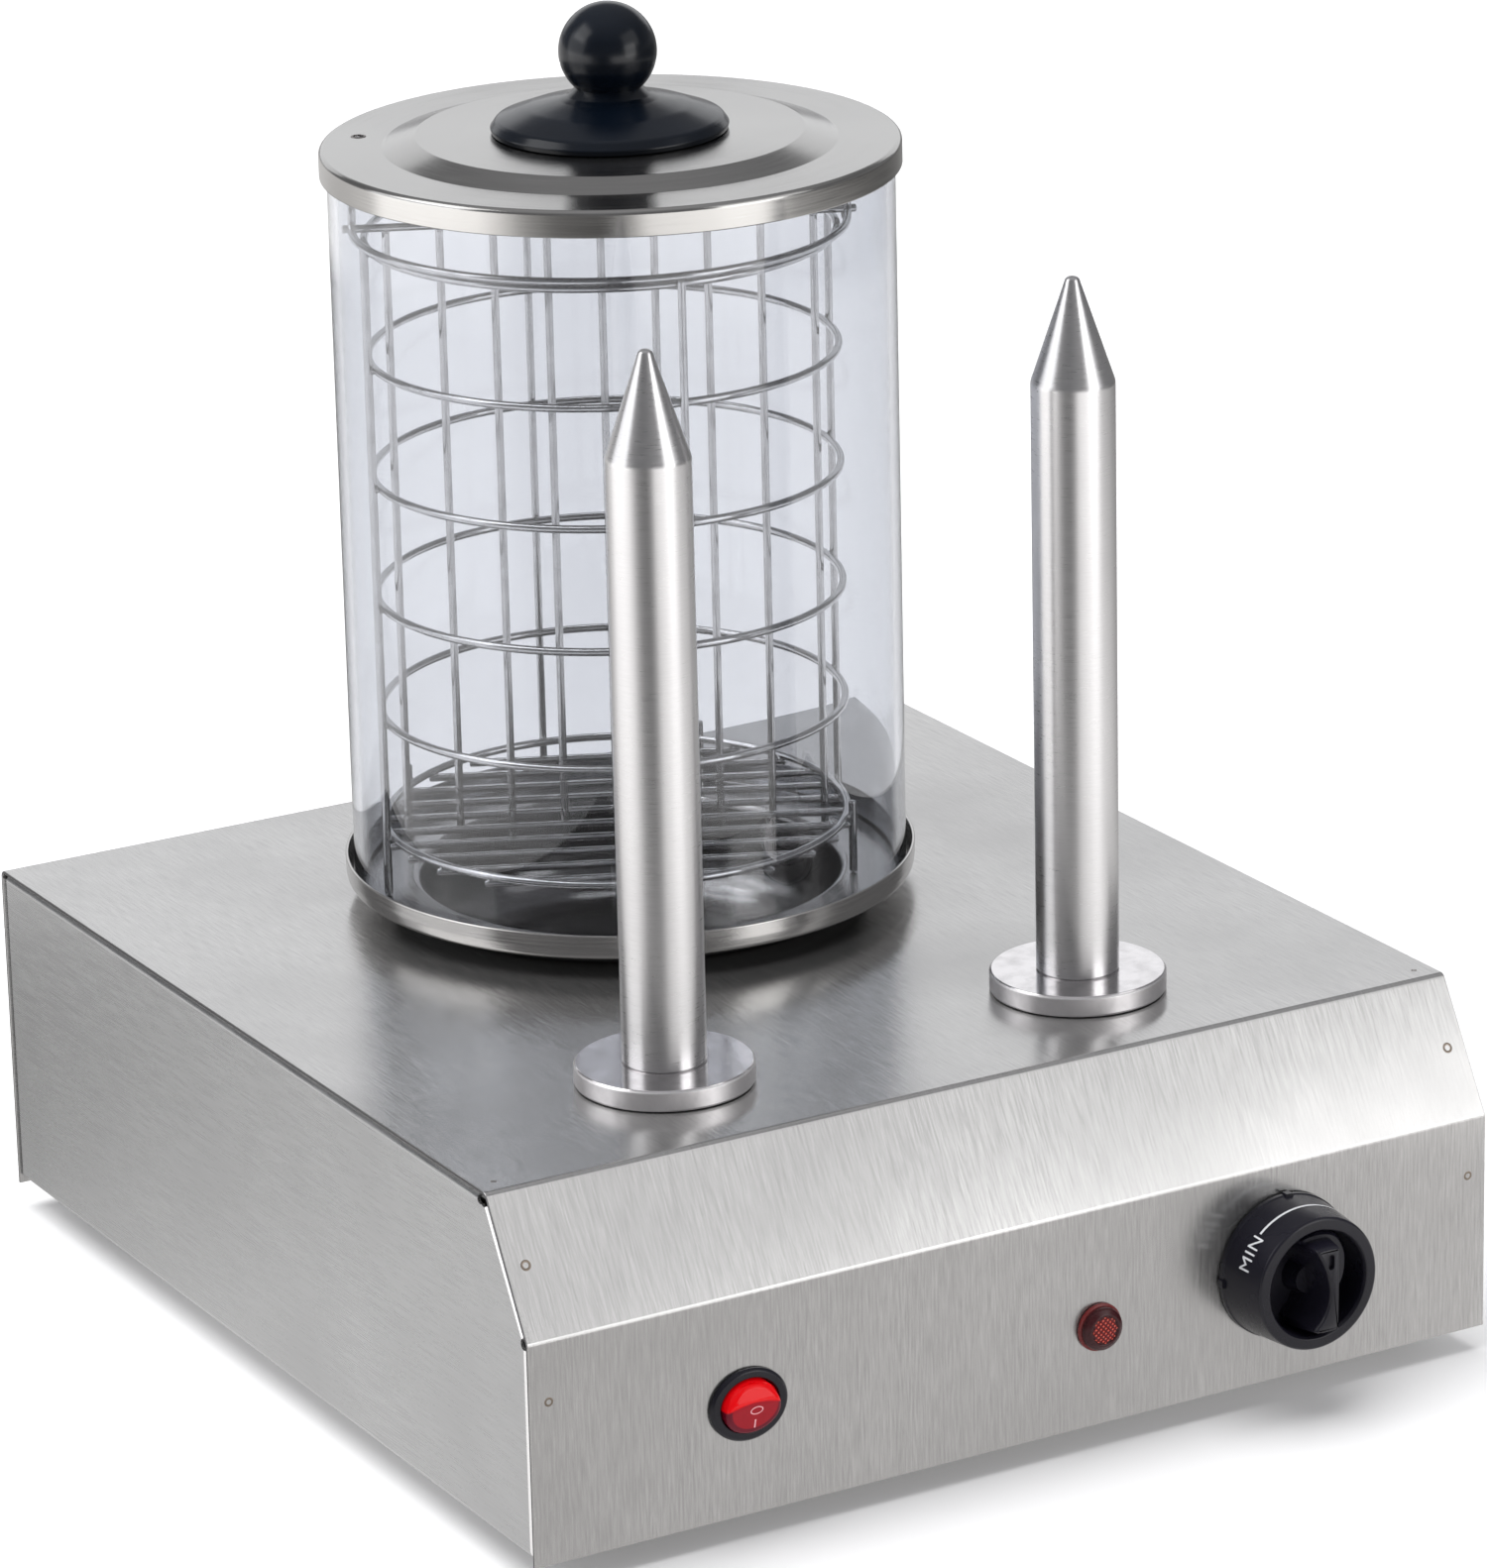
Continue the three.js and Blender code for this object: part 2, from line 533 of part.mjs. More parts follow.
function addGlass() {
  const low = PAN_FLANGE + GAP;
  const high = LID_TOP - SHEET - GAP;
  const inside = GLASS_RADIUS - GLASS_WALL;
  const wall = [
    flat(inside, low), flat(GLASS_RADIUS, low), flat(GLASS_RADIUS, high), flat(inside, high),
    flat(inside, low),
  ];
  add(steamAxis, 'glass_cylinder', turned(wall, 40), clearGlass);
}

function addLid() {
  const corner = 1.6;
  const plateau = LID_TOP + PLATEAU_RISE;
  const inRadius = LID_RADIUS - SHEET;
  const screwHole = 2.6;
  const bandLow = LID_TOP - LID_BAND;
  const profile = [
    flat(screwHole, plateau - SHEET), flat(PLATEAU_EDGE, plateau - SHEET),
    flat(PLATEAU_FOOT, LID_TOP - SHEET), flat(inRadius - 0.6, LID_TOP - SHEET),
    flat(inRadius, LID_TOP - corner), flat(inRadius, bandLow),
    flat(LID_RADIUS, bandLow), ...arc(LID_RADIUS - corner, LID_TOP - corner, corner, 0, 90, 3),
    flat(PLATEAU_FOOT, LID_TOP), flat(PLATEAU_EDGE, plateau), flat(screwHole, plateau),
    flat(screwHole, plateau - SHEET),
  ];
  const vent = polar(81, 142, LID_TOP);
  const ventHole = rod(vent.clone().setZ(LID_TOP - 4), vent.clone().setZ(LID_TOP + 4), 2.4, 12);
  add(steamAxis, 'lid', cut(turned(profile, 36), [ventHole]), steel);

  const seat = plateau + GAP;
  const flangeRadius = 37.8;
  const ball = { z: 389.1, radius: 15.6 };
  const neck = { z: 376.4, radius: 11.6 };
  const screwRadius = 1.9;
  const boreTop = neck.z + 6;
  const knob = turned([
    flat(0, boreTop), flat(screwRadius + GAP, boreTop - 1), flat(screwRadius + GAP, seat),
    flat(flangeRadius, seat), flat(flangeRadius, seat + 1.6), flat(flangeRadius - 3, seat + 5),
    flat(27, seat + 8.2), flat(14.8, neck.z - 2.2), flat(12.6, neck.z - 1), flat(neck.radius, neck.z),
    ...arc(0, ball.z, ball.radius, -38, 90, 8),
  ], 28);
  add(steamAxis, 'lid_knob', knob, glossBlack);
  const headTop = plateau - SHEET - GAP;
  const screw = turned([
    flat(0, headTop - 3.6), flat(3, headTop - 3.6), flat(4.2, headTop - 2.4), flat(4.2, headTop - 1.2),
    flat(8, headTop - 1.2), flat(8, headTop), flat(screwRadius, headTop), flat(screwRadius, boreTop - 4),
    flat(0, boreTop - 4),
  ], 12);
  add(steamAxis, 'lid_screw', screw, steel);
}

// ---------------------------------------------------------------- basket

function addBasket() {
  const basket = new THREE.Group();
  basket.position.set(BASKET_X, BASKET_Y, 0);
  steamAxis.add(basket);
  RING_HEIGHTS.forEach((z, i) => {
    add(basket, `basket_ring_${i + 1}`, hoop(RING_RADIUS, WIRE), polished).position.z = z;
  });

  const turnedGroup = new THREE.Group();
  turnedGroup.rotation.z = radians(DIVIDER_TURN);
  basket.add(turnedGroup);

  // Floor grid: parallel wires welded under the lowest ring.
  const weld = 0.2;
  const gridZ = FLOOR_RING - 2 * WIRE + weld;
  const grid = [hoop(RING_RADIUS, WIRE).translate(0, 0, FLOOR_RING)];
  for (let y = FLOOR_PITCH / 2; y < RING_RADIUS - FLOOR_PITCH / 2; y += FLOOR_PITCH) {
    const half = Math.sqrt(RING_RADIUS ** 2 - y ** 2) + 0.8;
    for (const side of [-1, 1]) {
      grid.push(rod(point(-half, y * side, gridZ), point(half, y * side, gridZ), WIRE, 8));
    }
  }
  add(turnedGroup, 'basket_floor', join(grid), polished);

  // Upright divider across the middle, with its top bar carried past the rings as the handle's pivot.
  const barHalf = HANDLE_RADIUS + 3;
  const barRod = rod(point(-barHalf, 0, BAR_HEIGHT), point(barHalf, 0, BAR_HEIGHT), WIRE, 8);
  const fence = [barRod];
  for (let i = -4; i <= 4; i += 1) {
    const x = i * DIVIDER_PITCH;
    fence.push(rod(point(x, 0, DIVIDER_FOOT), point(x, 0, BAR_HEIGHT), WIRE, 8));
  }
  add(turnedGroup, 'basket_divider', join(fence), polished);

  // Four wires outside the rings; the one at the user's left runs down to the pan as a leg.
  const outside = RING_RADIUS + 2 * WIRE + GAP;
  const legFoot = PAN_FLANGE + GAP;
  const uprightTop = BAR_HEIGHT - WIRE - 0.4;
  for (let i = 0; i < 4; i += 1) {
    const at = polar(outside, UPRIGHT_TURN + 90 * i, i === 1 ? legFoot : DIVIDER_FOOT);
    add(basket, `basket_upright_${i + 1}`, rod(at, at.clone().setZ(uprightTop), WIRE, 8), polished);
  }
  [-40, 40, 125].forEach((degrees, i) => {
    const at = polar(outside, degrees, legFoot);
    add(basket, `basket_leg_${i + 1}`, rod(at, at.clone().setZ(FLOOR_RING + 5.4), WIRE, 8), polished);
  });

  // Half-round carrying handle, folded down to the front. A tall hook at each end hangs on the divider's bar.
  const start = 7;
  const spans = 14;
  const hook = [
    [0.9, -3.1], [3.1, -1.6], [3.6, 1.5], [3, HOOK_HEIGHT - 3], [0, HOOK_HEIGHT], [-3, HOOK_HEIGHT - 3],
    [-3.9, 2.4], [-5.8, 0.3],
  ];
  const hookAt = (side) => hook.map(([y, z]) => point(side * HANDLE_RADIUS, y, z));
  const bow = Array.from({ length: spans + 1 }, (_, i) => {
    return polar(HANDLE_RADIUS, -start - (180 - 2 * start) * i / spans, 0);
  });
  const route = [...hookAt(1), ...bow, ...hookAt(-1).reverse()];
  add(turnedGroup, 'basket_handle', tube(route, WIRE, 100), polished).position.z = BAR_HEIGHT;
}

addHousing();
addBase();
addGland();
addPan();
addHeater();
addSpikes();
addThermostat();
addLamp();
addSwitch();
addGlass();
addLid();
addBasket();

export default steamer;
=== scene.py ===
"""Looks of a hot dog steamer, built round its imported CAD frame.

Sizes are in millimetres; piece() makes them metres.
"""

import math

import bmesh
import bpy
from mathutils import Matrix, Vector


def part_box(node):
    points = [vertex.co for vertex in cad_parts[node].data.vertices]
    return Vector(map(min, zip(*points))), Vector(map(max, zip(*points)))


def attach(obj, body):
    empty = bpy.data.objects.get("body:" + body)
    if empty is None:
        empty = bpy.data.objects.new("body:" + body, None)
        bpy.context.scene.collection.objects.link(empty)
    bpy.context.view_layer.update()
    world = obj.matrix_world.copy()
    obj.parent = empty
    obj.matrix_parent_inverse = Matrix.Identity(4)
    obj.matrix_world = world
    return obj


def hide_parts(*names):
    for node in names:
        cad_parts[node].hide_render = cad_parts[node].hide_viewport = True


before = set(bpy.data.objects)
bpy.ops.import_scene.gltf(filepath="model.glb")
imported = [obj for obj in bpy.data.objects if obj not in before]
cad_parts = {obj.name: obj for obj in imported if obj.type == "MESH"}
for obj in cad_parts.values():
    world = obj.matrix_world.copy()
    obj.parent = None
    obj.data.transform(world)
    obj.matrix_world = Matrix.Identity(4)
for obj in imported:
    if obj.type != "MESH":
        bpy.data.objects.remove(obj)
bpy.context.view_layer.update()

MM = 0.001
SHEET = 1.0
shell_low, shell_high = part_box("housing_shell")
WIDTH = (shell_high.x - shell_low.x) / MM
HEIGHT = (shell_high.z - shell_low.z) / MM
TOP_DEPTH = 342.0
SLOPE_RUN = (shell_high.y - shell_low.y) / MM - TOP_DEPTH
SLOPE_DROP = 40.2
# Zero for every size below: middle of the top sheet's front edge, at the height of the housing's lower edge.
ZERO = Vector(((shell_low.x + shell_high.x) / 2, shell_high.y - TOP_DEPTH * MM, shell_low.z))


def centre_of(node):
    low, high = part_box(node)
    return ((low + high) / 2 - ZERO) / MM


def low_of(node):
    return (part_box(node)[0] - ZERO) / MM


def high_of(node):
    return (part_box(node)[1] - ZERO) / MM


AXIS = centre_of("steam_pan").xy.to_3d()
BASKET = centre_of("basket_ring_1").xy.to_3d()


# ---- shader nodes


class Finish:
    """A material and the nodes that feed its Principled shader."""

    def __init__(self, name, color, roughness, metallic=0.0, **sockets):
        self.material = bpy.data.materials.new(name)
        self.material.use_nodes = True
        self.material.diffuse_color = (*color, 1)
        self.tree = self.material.node_tree
        self.shader = self.tree.nodes["Principled BSDF"]
        self.feed({"Base Color": (*color, 1), "Roughness": roughness, "Metallic": metallic, **sockets})
        self.place = self.node("ShaderNodeTexCoord").outputs["Object"]

    def set(self, node, values):
        for name, value in values.items():
            socket = node.inputs[name]
            if isinstance(value, bpy.types.NodeSocket):
                self.tree.links.new(value, socket)
            else:
                socket.default_value = value

    def feed(self, values):
        self.set(self.shader, values)

    def node(self, kind, inputs=None, **settings):
        node = self.tree.nodes.new(kind)
        for name, value in settings.items():
            setattr(node, name, value)
        self.set(node, inputs or {})
        return node

    def math(self, operation, a, b=0.0):
        return self.node("ShaderNodeMath", {0: a, 1: b}, operation=operation).outputs[0]

    def spread(self, value, low, high, from_low=0.3, from_high=0.7):
        inputs = {"Value": value, "From Min": from_low, "From Max": from_high, "To Min": low, "To Max": high}
        return self.node("ShaderNodeMapRange", inputs).outputs["Result"]

    def scaled(self, vector, scale):
        return self.node("ShaderNodeMapping", {"Vector": vector, "Scale": scale}).outputs["Vector"]

    def noise(self, scale, detail=3.0, place=None):
        """Noise with a separate frequency per metre along each axis."""
        moved = self.scaled(place or self.place, scale)
        inputs = {"Vector": moved, "Scale": 1.0, "Detail": detail, "Roughness": 0.55}
        return self.node("ShaderNodeTexNoise", inputs).outputs["Fac"]

    def parts(self, vector):
        return self.node("ShaderNodeSeparateXYZ", {"Vector": vector}).outputs

    def length(self, vector):
        return self.node("ShaderNodeVectorMath", {0: vector}, operation="LENGTH").outputs["Value"]

    def polar(self):
        """(radius, turn, height) about the piece's own upright axis."""
        parts = self.parts(self.place)
        turn = self.math("ARCTAN2", parts["Y"], parts["X"])
        radius = self.length(self.scaled(self.place, (1, 1, 0)))
        return self.node("ShaderNodeCombineXYZ", {"X": radius, "Y": turn, "Z": parts["Z"]}).outputs[0]

    def mix(self, factor, a, b):
        """One colour (a) passing into another (b); 6, 7 and 2 are the mix node's colour sockets."""
        a, b = (c if isinstance(c, bpy.types.NodeSocket) else (*c, 1) for c in (a, b))
        return self.node("ShaderNodeMix", {0: factor, 6: a, 7: b}, data_type="RGBA").outputs[2]

    def edges(self, radius):
        """1 on sharp outer edges, 0 on flats: where handling polishes or wears a piece."""
        bevel = self.node("ShaderNodeBevel", {"Radius": radius * MM}, samples=4).outputs["Normal"]
        normal = self.node("ShaderNodeNewGeometry").outputs["Normal"]
        dot = self.node("ShaderNodeVectorMath", {0: bevel, 1: normal}, operation="DOT_PRODUCT")
        return self.spread(self.math("SUBTRACT", 1.0, dot.outputs["Value"]), 0.0, 1.0, 0.02, 0.25)

    def bump(self, layers):
        """layers: (height, depth in millimetres), finest first."""
        normal = None
        for height, depth in layers:
            inputs = {"Height": height, "Strength": 1.0, "Distance": depth * MM}
            if normal:
                inputs["Normal"] = normal
            normal = self.node("ShaderNodeBump", inputs).outputs["Normal"]
        self.feed({"Normal": normal})


def shade(color, amount):
    return tuple(min(1.0, c * amount) for c in color)


def varied(finish, pattern, color, low, high):
    """A colour that wanders between two shades of itself."""
    return finish.mix(finish.spread(pattern, 0, 1), shade(color, low), shade(color, high))


def brushed(name, color, roughness, grain, lathe=False, depth=0.004, wave=0.0, anisotropic=0.6, tint=0.06,
            painted_shade_radius=0.0, metallic=1.0, edge_gap_shade=None, fold_highlight=None):
    """Brushed or turned metal. grain: frequency per metre along each axis, high across the scratches.

    painted_shade_radius: radius in millimetres inside which turned metal is painted darker, a painted shade
    for the shaded well and the dark things mirrored in it.
    edge_gap_shade, fold_highlight: colours for a painted shade on a sheet's edge that faces sideways,
    standing for the dark gap beside it, and for a painted highlight on a fold that turns to the front.
    """
    finish = Finish(name, color, roughness, metallic, Anisotropic=anisotropic)
    place = finish.polar() if lathe else finish.place
    fine = finish.noise(grain, 4.0, place)
    broad = finish.noise([g * 0.12 for g in grain], 2.0, place)
    blotch = finish.noise((14, 14, 14), 3.0)
    streaks = finish.math("ADD", finish.math("MULTIPLY", fine, 0.88), finish.math("MULTIPLY", broad, 0.12))
    tone = varied(finish, streaks, color, 1 - tint, 1 + tint)
    tone = finish.mix(finish.spread(blotch, 0, 0.5, 0.35, 0.75), tone, shade(color, 1 - tint * 1.3))
    # Painted shade: inside the radius the colour is darkened to stand for the shade in the pan's well and the
    # dark things mirrored in it.
    if painted_shade_radius:
        inside = finish.spread(finish.parts(place)["X"], 1, 0, (painted_shade_radius - 2) * MM, painted_shade_radius * MM)
        tone = finish.mix(inside, tone, shade(color, 0.6))
    facing = finish.parts(finish.node("ShaderNodeNewGeometry").outputs["Normal"])
    # Painted shade: sheet edges that face sideways are made almost black to stand for the shadowed gap
    # between the wrap and the side trays.
    if edge_gap_shade:
        sideways = finish.spread(finish.math("ABSOLUTE", facing["X"]), 0, 1, 0.8, 0.95)
        tone = finish.mix(sideways, tone, edge_gap_shade)
    # Painted highlight: surfaces turned towards the front, such as the side trays' front folds, are made
    # almost white as if lit.
    if fold_highlight:
        tone = finish.mix(finish.spread(facing["Y"], 1, 0, -0.3, -0.12), tone, fold_highlight)
    grime = finish.spread(blotch, -0.02, 0.03)
    rough = finish.math("ADD", finish.spread(streaks, roughness - 0.05, roughness + 0.05), grime)
    finish.feed({"Base Color": tone, "Roughness": rough})
    layers = [(fine, depth), (broad, depth * 0.2)]
    if wave:
        layers.append((finish.noise((9, 9, 9), 1.0), wave))
    finish.bump(layers)
    if lathe:
        tangent = finish.node("ShaderNodeTangent", direction_type="RADIAL", axis="Z").outputs[0]
        finish.feed({"Tangent": tangent, "Anisotropic Rotation": 0.25})
    elif anisotropic:
        tangent = finish.node("ShaderNodeTangent", direction_type="UV_MAP", uv_map="grain").outputs[0]
        finish.feed({"Tangent": tangent})
    return finish.material


def polished(name, color, roughness, smear=0.0015, rim=0.0):
    """Drawn wire and other bright steel: almost a mirror, with faint drawing marks and dull spots.

    rim: radius in millimetres outside which a turned piece is only satin.
    """
    finish = Finish(name, color, roughness, 1.0)
    spots = finish.noise((160, 160, 160), 4.0)
    fine = finish.noise((900, 900, 900), 2.0)
    tone = finish.mix(finish.spread(spots, 0, 1, 0.4, 0.75), color, shade(color, 0.82))
    rough = finish.spread(spots, roughness, roughness + 0.12, 0.4, 0.75)
    if rim:
        outside = finish.spread(finish.parts(finish.polar())["X"], 0, 0.3, (rim - 0.2) * MM, rim * MM)
        rough = finish.math("ADD", rough, outside)
    finish.feed({"Base Color": tone, "Roughness": rough})
    finish.bump([(fine, smear)])
    return finish.material


def moulded(name, color, roughness, grain=0.006, frequency=1400, wear=0.35, lighter=1.9, **sockets):
    """Moulded plastic: fine sparked texture, slight flow marks, worn edges."""
    finish = Finish(name, color, roughness, 0.0, **sockets)
    fine = finish.noise((frequency, frequency, frequency), 2.0)
    cloud = finish.noise((55, 55, 55), 3.0)
    tone = varied(finish, cloud, color, 0.85, 1.18)
    tone = finish.mix(finish.math("MULTIPLY", finish.edges(0.5), wear), tone, shade(color, lighter))
    rough = finish.spread(cloud, roughness - 0.04, roughness + 0.05)
    finish.feed({"Base Color": tone, "Roughness": rough})
    finish.bump([(fine, grain)])
    return finish.material


def clear(name, color, edge_color, roughness, ior=1.5, tint=0.02):
    """Glass whose tint deepens where the wall is seen edge-on."""
    finish = Finish(name, color, roughness, 0.0, **{"Transmission Weight": 1.0, "IOR": ior})
    smear = finish.noise((30, 30, 12), 4.0)
    tone = varied(finish, smear, color, 1, 1 - tint)
    facing = finish.node("ShaderNodeLayerWeight", {"Blend": 0.5}).outputs["Facing"]
    tone = finish.mix(finish.spread(facing, 0, 1, 0.3, 0.75), tone, edge_color)
    rough = finish.spread(smear, roughness, roughness + 0.012, 0.45, 0.75)
    finish.feed({"Base Color": tone, "Roughness": rough})
    finish.bump([(finish.noise((7, 7, 3), 1.0), 0.05)])
    return finish.material


def lens_rim(name):
    """Red plastic: thin and bright in the flange, nearly black in the thick raised part."""
    finish = Finish(name, (0.1, 0.01, 0.01), 0.2, 0.0, **{"Specular IOR Level": 0.3})
    flange = finish.spread(finish.parts(finish.place)["Y"], 0, 1, -0.0016, -0.0008)
    cloud = finish.noise((500, 500, 500), 2.0)
    finish.feed({
        "Base Color": finish.mix(flange, (0.04, 0.007, 0.009), (0.17, 0.02, 0.02)),
        "Roughness": finish.spread(cloud, 0.22, 0.32),
    })
    return finish.material


def lit_rocker(name):
    """Translucent red with its lamp behind the upper edge; the marked lower face is deeper."""
    glow = {"Specular IOR Level": 0.22, "Emission Strength": 0.5}
    finish = Finish(name, (0.5, 0.01, 0.02), 0.10, 0.0, **glow)
    parts = finish.parts(finish.place)
    cloud = finish.noise((420, 420, 420), 2.0)
    arch = finish.math("MULTIPLY", finish.math("MULTIPLY", parts["X"], parts["X"]), 22.0)
    upper = finish.spread(finish.math("ADD", parts["Z"], arch), 0, 1, 0.0019, 0.0025)
    radius = finish.length(finish.scaled(finish.place, (1 / OVAL, 0, 1)))
    border = finish.spread(radius, 0, 1, 0.0066, 0.0070)
    lower = finish.mix(border, (0.30, 0.006, 0.014), (0.11, 0.004, 0.014))
    finish.feed({
        "Base Color": finish.mix(upper, lower, (0.55, 0.002, 0.004)),
        "Emission Color": finish.mix(upper, (0.04, 0.001, 0.003), (0.42, 0.001, 0.003)),
        "Roughness": finish.spread(cloud, 0.06, 0.14),
    })
    return finish.material


def dotted_lens(name):
    """Dark red lens with a diamond grid of brighter points."""
    finish = Finish(name, (0.2, 0.01, 0.01), 0.16, 0.0, **{"Coat Weight": 0.3, "Emission Strength": 0.06})
    parts = finish.parts(finish.place)
    along = finish.math("ADD", parts["X"], parts["Z"])
    across = finish.math("SUBTRACT", parts["X"], parts["Z"])
    step = math.pi / (DIAMOND * MM * math.sqrt(2))
    waves = [finish.math("SINE", finish.math("MULTIPLY", value, step)) for value in (along, across)]
    squares = [finish.math("MULTIPLY", wave, wave) for wave in waves]
    dots = finish.spread(finish.math("MULTIPLY", *squares), 0, 1, 0.30, 0.75)
    finish.feed({
        "Base Color": finish.mix(dots, (0.13, 0.006, 0.008), (0.68, 0.12, 0.08)),
        "Emission Color": finish.mix(dots, (0.10, 0.002, 0.002), (1.0, 0.16, 0.10)),
    })
    return finish.material


OVAL = 1.155  # width of the rocker switch over its height
DIAMOND = 1.2  # side of the squares on the lamp's face

# Painted shade: the wrap's sideways-facing sheet edges are coloured near black for the gap beside the side
# trays.
shell_steel = brushed("shell_steel", (0.50, 0.495, 0.49), 0.20, (1500, 90, 90), wave=0.012, anisotropic=0.8,
                      tint=0.16, metallic=0.9, edge_gap_shade=(0.05, 0.05, 0.055))
# Painted highlight: the side trays' front folds are coloured near white.
side_steel = brushed("side_steel", (0.47, 0.475, 0.48), 0.28, (60, 60, 1500), wave=0.012, tint=0.10,
                     fold_highlight=(0.97, 0.97, 0.97))
# Painted shade: the pan is coloured darker inside its well.
pan_steel = brushed("pan_steel", (0.50, 0.49, 0.48), 0.20, (1600, 3, 1600), lathe=True, painted_shade_radius=70)
lid_steel = brushed("lid_steel", (0.41, 0.405, 0.395), 0.19, (1700, 3, 1700), lathe=True, wave=0.02)
spike_aluminium = brushed("spike_aluminium", (0.62, 0.615, 0.62), 0.30, (10, 2, 2600), lathe=True,
                          depth=0.006)
plain_aluminium = brushed("plain_aluminium", (0.70, 0.70, 0.71), 0.35, (900, 3, 900), lathe=True)
base_steel = brushed("base_steel", (0.42, 0.42, 0.42), 0.42, (5, 900, 5), wave=0.08, anisotropic=0.0)
disc_steel = polished("disc_steel", (0.80, 0.78, 0.79), 0.10, 0.0006, rim=27.4)
wire_steel = polished("wire_steel", (0.60, 0.595, 0.59), 0.10)
fixing_steel = polished("fixing_steel", (0.60, 0.60, 0.60), 0.25)
weld_steel = polished("weld_steel", (0.24, 0.20, 0.165), 0.40)
tinted_steel = polished("tinted_steel", (0.30, 0.28, 0.27), 0.38)
plain_brass = polished("plain_brass", (0.72, 0.56, 0.26), 0.28)
black_satin = moulded("black_satin", (0.0075, 0.007, 0.012), 0.27, 0.004, lighter=1.5,
                      **{"Specular IOR Level": 0.35})
black_gloss = moulded("black_gloss", (0.002, 0.004, 0.008), 0.21, 0.002, 700, 0.12,
                      **{"Specular IOR Level": 0.32})
black_rubber = moulded("black_rubber", (0.022, 0.022, 0.023), 0.72, 0.02, 900)
off_white = moulded("off_white", (0.72, 0.70, 0.64), 0.45, 0.006, 1200, 0.1, 1.1)
print_grey = moulded("print_grey", (0.62, 0.63, 0.65), 0.5, 0.004, 1600, 0.0, 1.0)
red_rim = lens_rim("red_rim")
red_lit = lit_rocker("red_lit")
red_dots = dotted_lens("red_dots")
print_pink = moulded("print_pink", (0.85, 0.42, 0.46), 0.4, 0.003, 1500, 0.0, 1.0)
glass_clear = clear("glass_clear", (0.75, 0.762, 0.79), (0.67, 0.69, 0.725), 0.0, 1.45)


# ---- shape helpers


PIECES = []


def show(obj):
    bpy.context.scene.collection.objects.link(obj)
    return obj


def mesh_of(bm, name):
    mesh = bpy.data.meshes.new(name)
    bm.to_mesh(mesh)
    bm.free()
    return mesh


def smooth_shaded(mesh, sharp):
    mesh.polygons.foreach_set("use_smooth", [True] * len(mesh.polygons))
    mesh.set_sharp_from_angle(angle=math.radians(sharp))


def piece(name, bm, material, body, nodes=(), origin=None, sharp=32, bevel=0.0, grain=None):
    """Turns a mesh in millimetres into an object that rides on a body. origin: where its own axis stands."""
    bmesh.ops.remove_doubles(bm, verts=bm.verts, dist=1e-4)
    bmesh.ops.recalc_face_normals(bm, faces=bm.faces)
    own = origin.copy() if origin else Vector((0, 0, 0))
    if grain:
        layer = bm.loops.layers.uv.new("grain")
        for face in bm.faces:
            for loop in face.loops:
                loop[layer].uv = [component * 0.01 for component in grain(loop.vert.co)]
    bm.transform(Matrix.Scale(MM, 4) @ Matrix.Translation(-own))
    mesh = mesh_of(bm, name)
    mesh.materials.append(material)
    smooth_shaded(mesh, sharp)
    obj = show(bpy.data.objects.new(name, mesh))
    obj.location = ZERO + own * MM
    if bevel:
        round_edges(obj, bevel)
    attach(obj, body)
    if nodes:
        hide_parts(*nodes)
    PIECES.append(obj)
    return obj


def settle_normals():
    """Keeps wide faces flat or evenly curved beside their narrow rounded edges."""
    for obj in PIECES:
        modifier = obj.modifiers.new("normals", "WEIGHTED_NORMAL")
        modifier.keep_sharp = True


def round_edges(obj, width):
    modifier = obj.modifiers.new("edges", "BEVEL")
    modifier.width = width * MM
    modifier.segments = 2
    modifier.limit_method = "ANGLE"
    modifier.angle_limit = math.radians(50)
    modifier.harden_normals = False


def arc(cx, cy, radius, start, end, steps):
    angles = [math.radians(start + (end - start) * i / steps) for i in range(steps + 1)]
    return [(cx + radius * math.cos(a), cy + radius * math.sin(a)) for a in angles]


def rounded(corners, steps=6, closed=True):
    """Corners (a, b) or (a, b, radius), joined with arcs."""
    result = []
    count = len(corners)
    for i, corner in enumerate(corners):
        here = Vector(corner[:2])
        radius = corner[2] if len(corner) > 2 else 0
        if not radius or (not closed and i in (0, count - 1)):
            result.append(tuple(here))
            continue
        before = (Vector(corners[i - 1][:2]) - here).normalized()
        after = (Vector(corners[(i + 1) % count][:2]) - here).normalized()
        half = before.angle(after) / 2
        reach = radius / math.tan(half)
        middle = here + (before + after).normalized() * radius / math.sin(half)
        first = here + before * reach - middle
        turn = first.angle_signed(here + after * reach - middle)
        for k in range(steps + 1):
            spoke = first.copy()
            spoke.rotate(Matrix.Rotation(-turn * k / steps, 2))
            result.append(tuple(middle + spoke))
    return result


def smooth(points, cuts=4, closed=False):
    """A line rounded through its points."""
    last = len(points) - 1
    result = []
    for i in range(last + closed):
        near = [(i + k) % (last + 1) if closed else min(max(i + k, 0), last) for k in (-1, 0, 1, 2)]
        a, b, c, d = (Vector(points[k]) for k in near)
        for t in (k / cuts for k in range(cuts)):
            spot = 2 * b + (c - a) * t + (2 * a - 5 * b + 4 * c - d) * t**2
            result.append(tuple(0.5 * (spot + (3 * b - a - 3 * c + d) * t**3)))
    return result if closed else result + [tuple(points[-1])]


def grown(outline, distance, limit=None):
    """An anticlockwise outline moved outwards, kept inside a circle round zero."""
    result = []
    for i, here in enumerate(outline):
        along = (Vector(outline[(i + 1) % len(outline)]) - Vector(outline[i - 1])).normalized()
        spot = Vector(here) + Vector((along.y, -along.x)) * distance
        if limit and spot.length > limit:
            spot *= limit / spot.length
        result.append(tuple(spot))
    return result


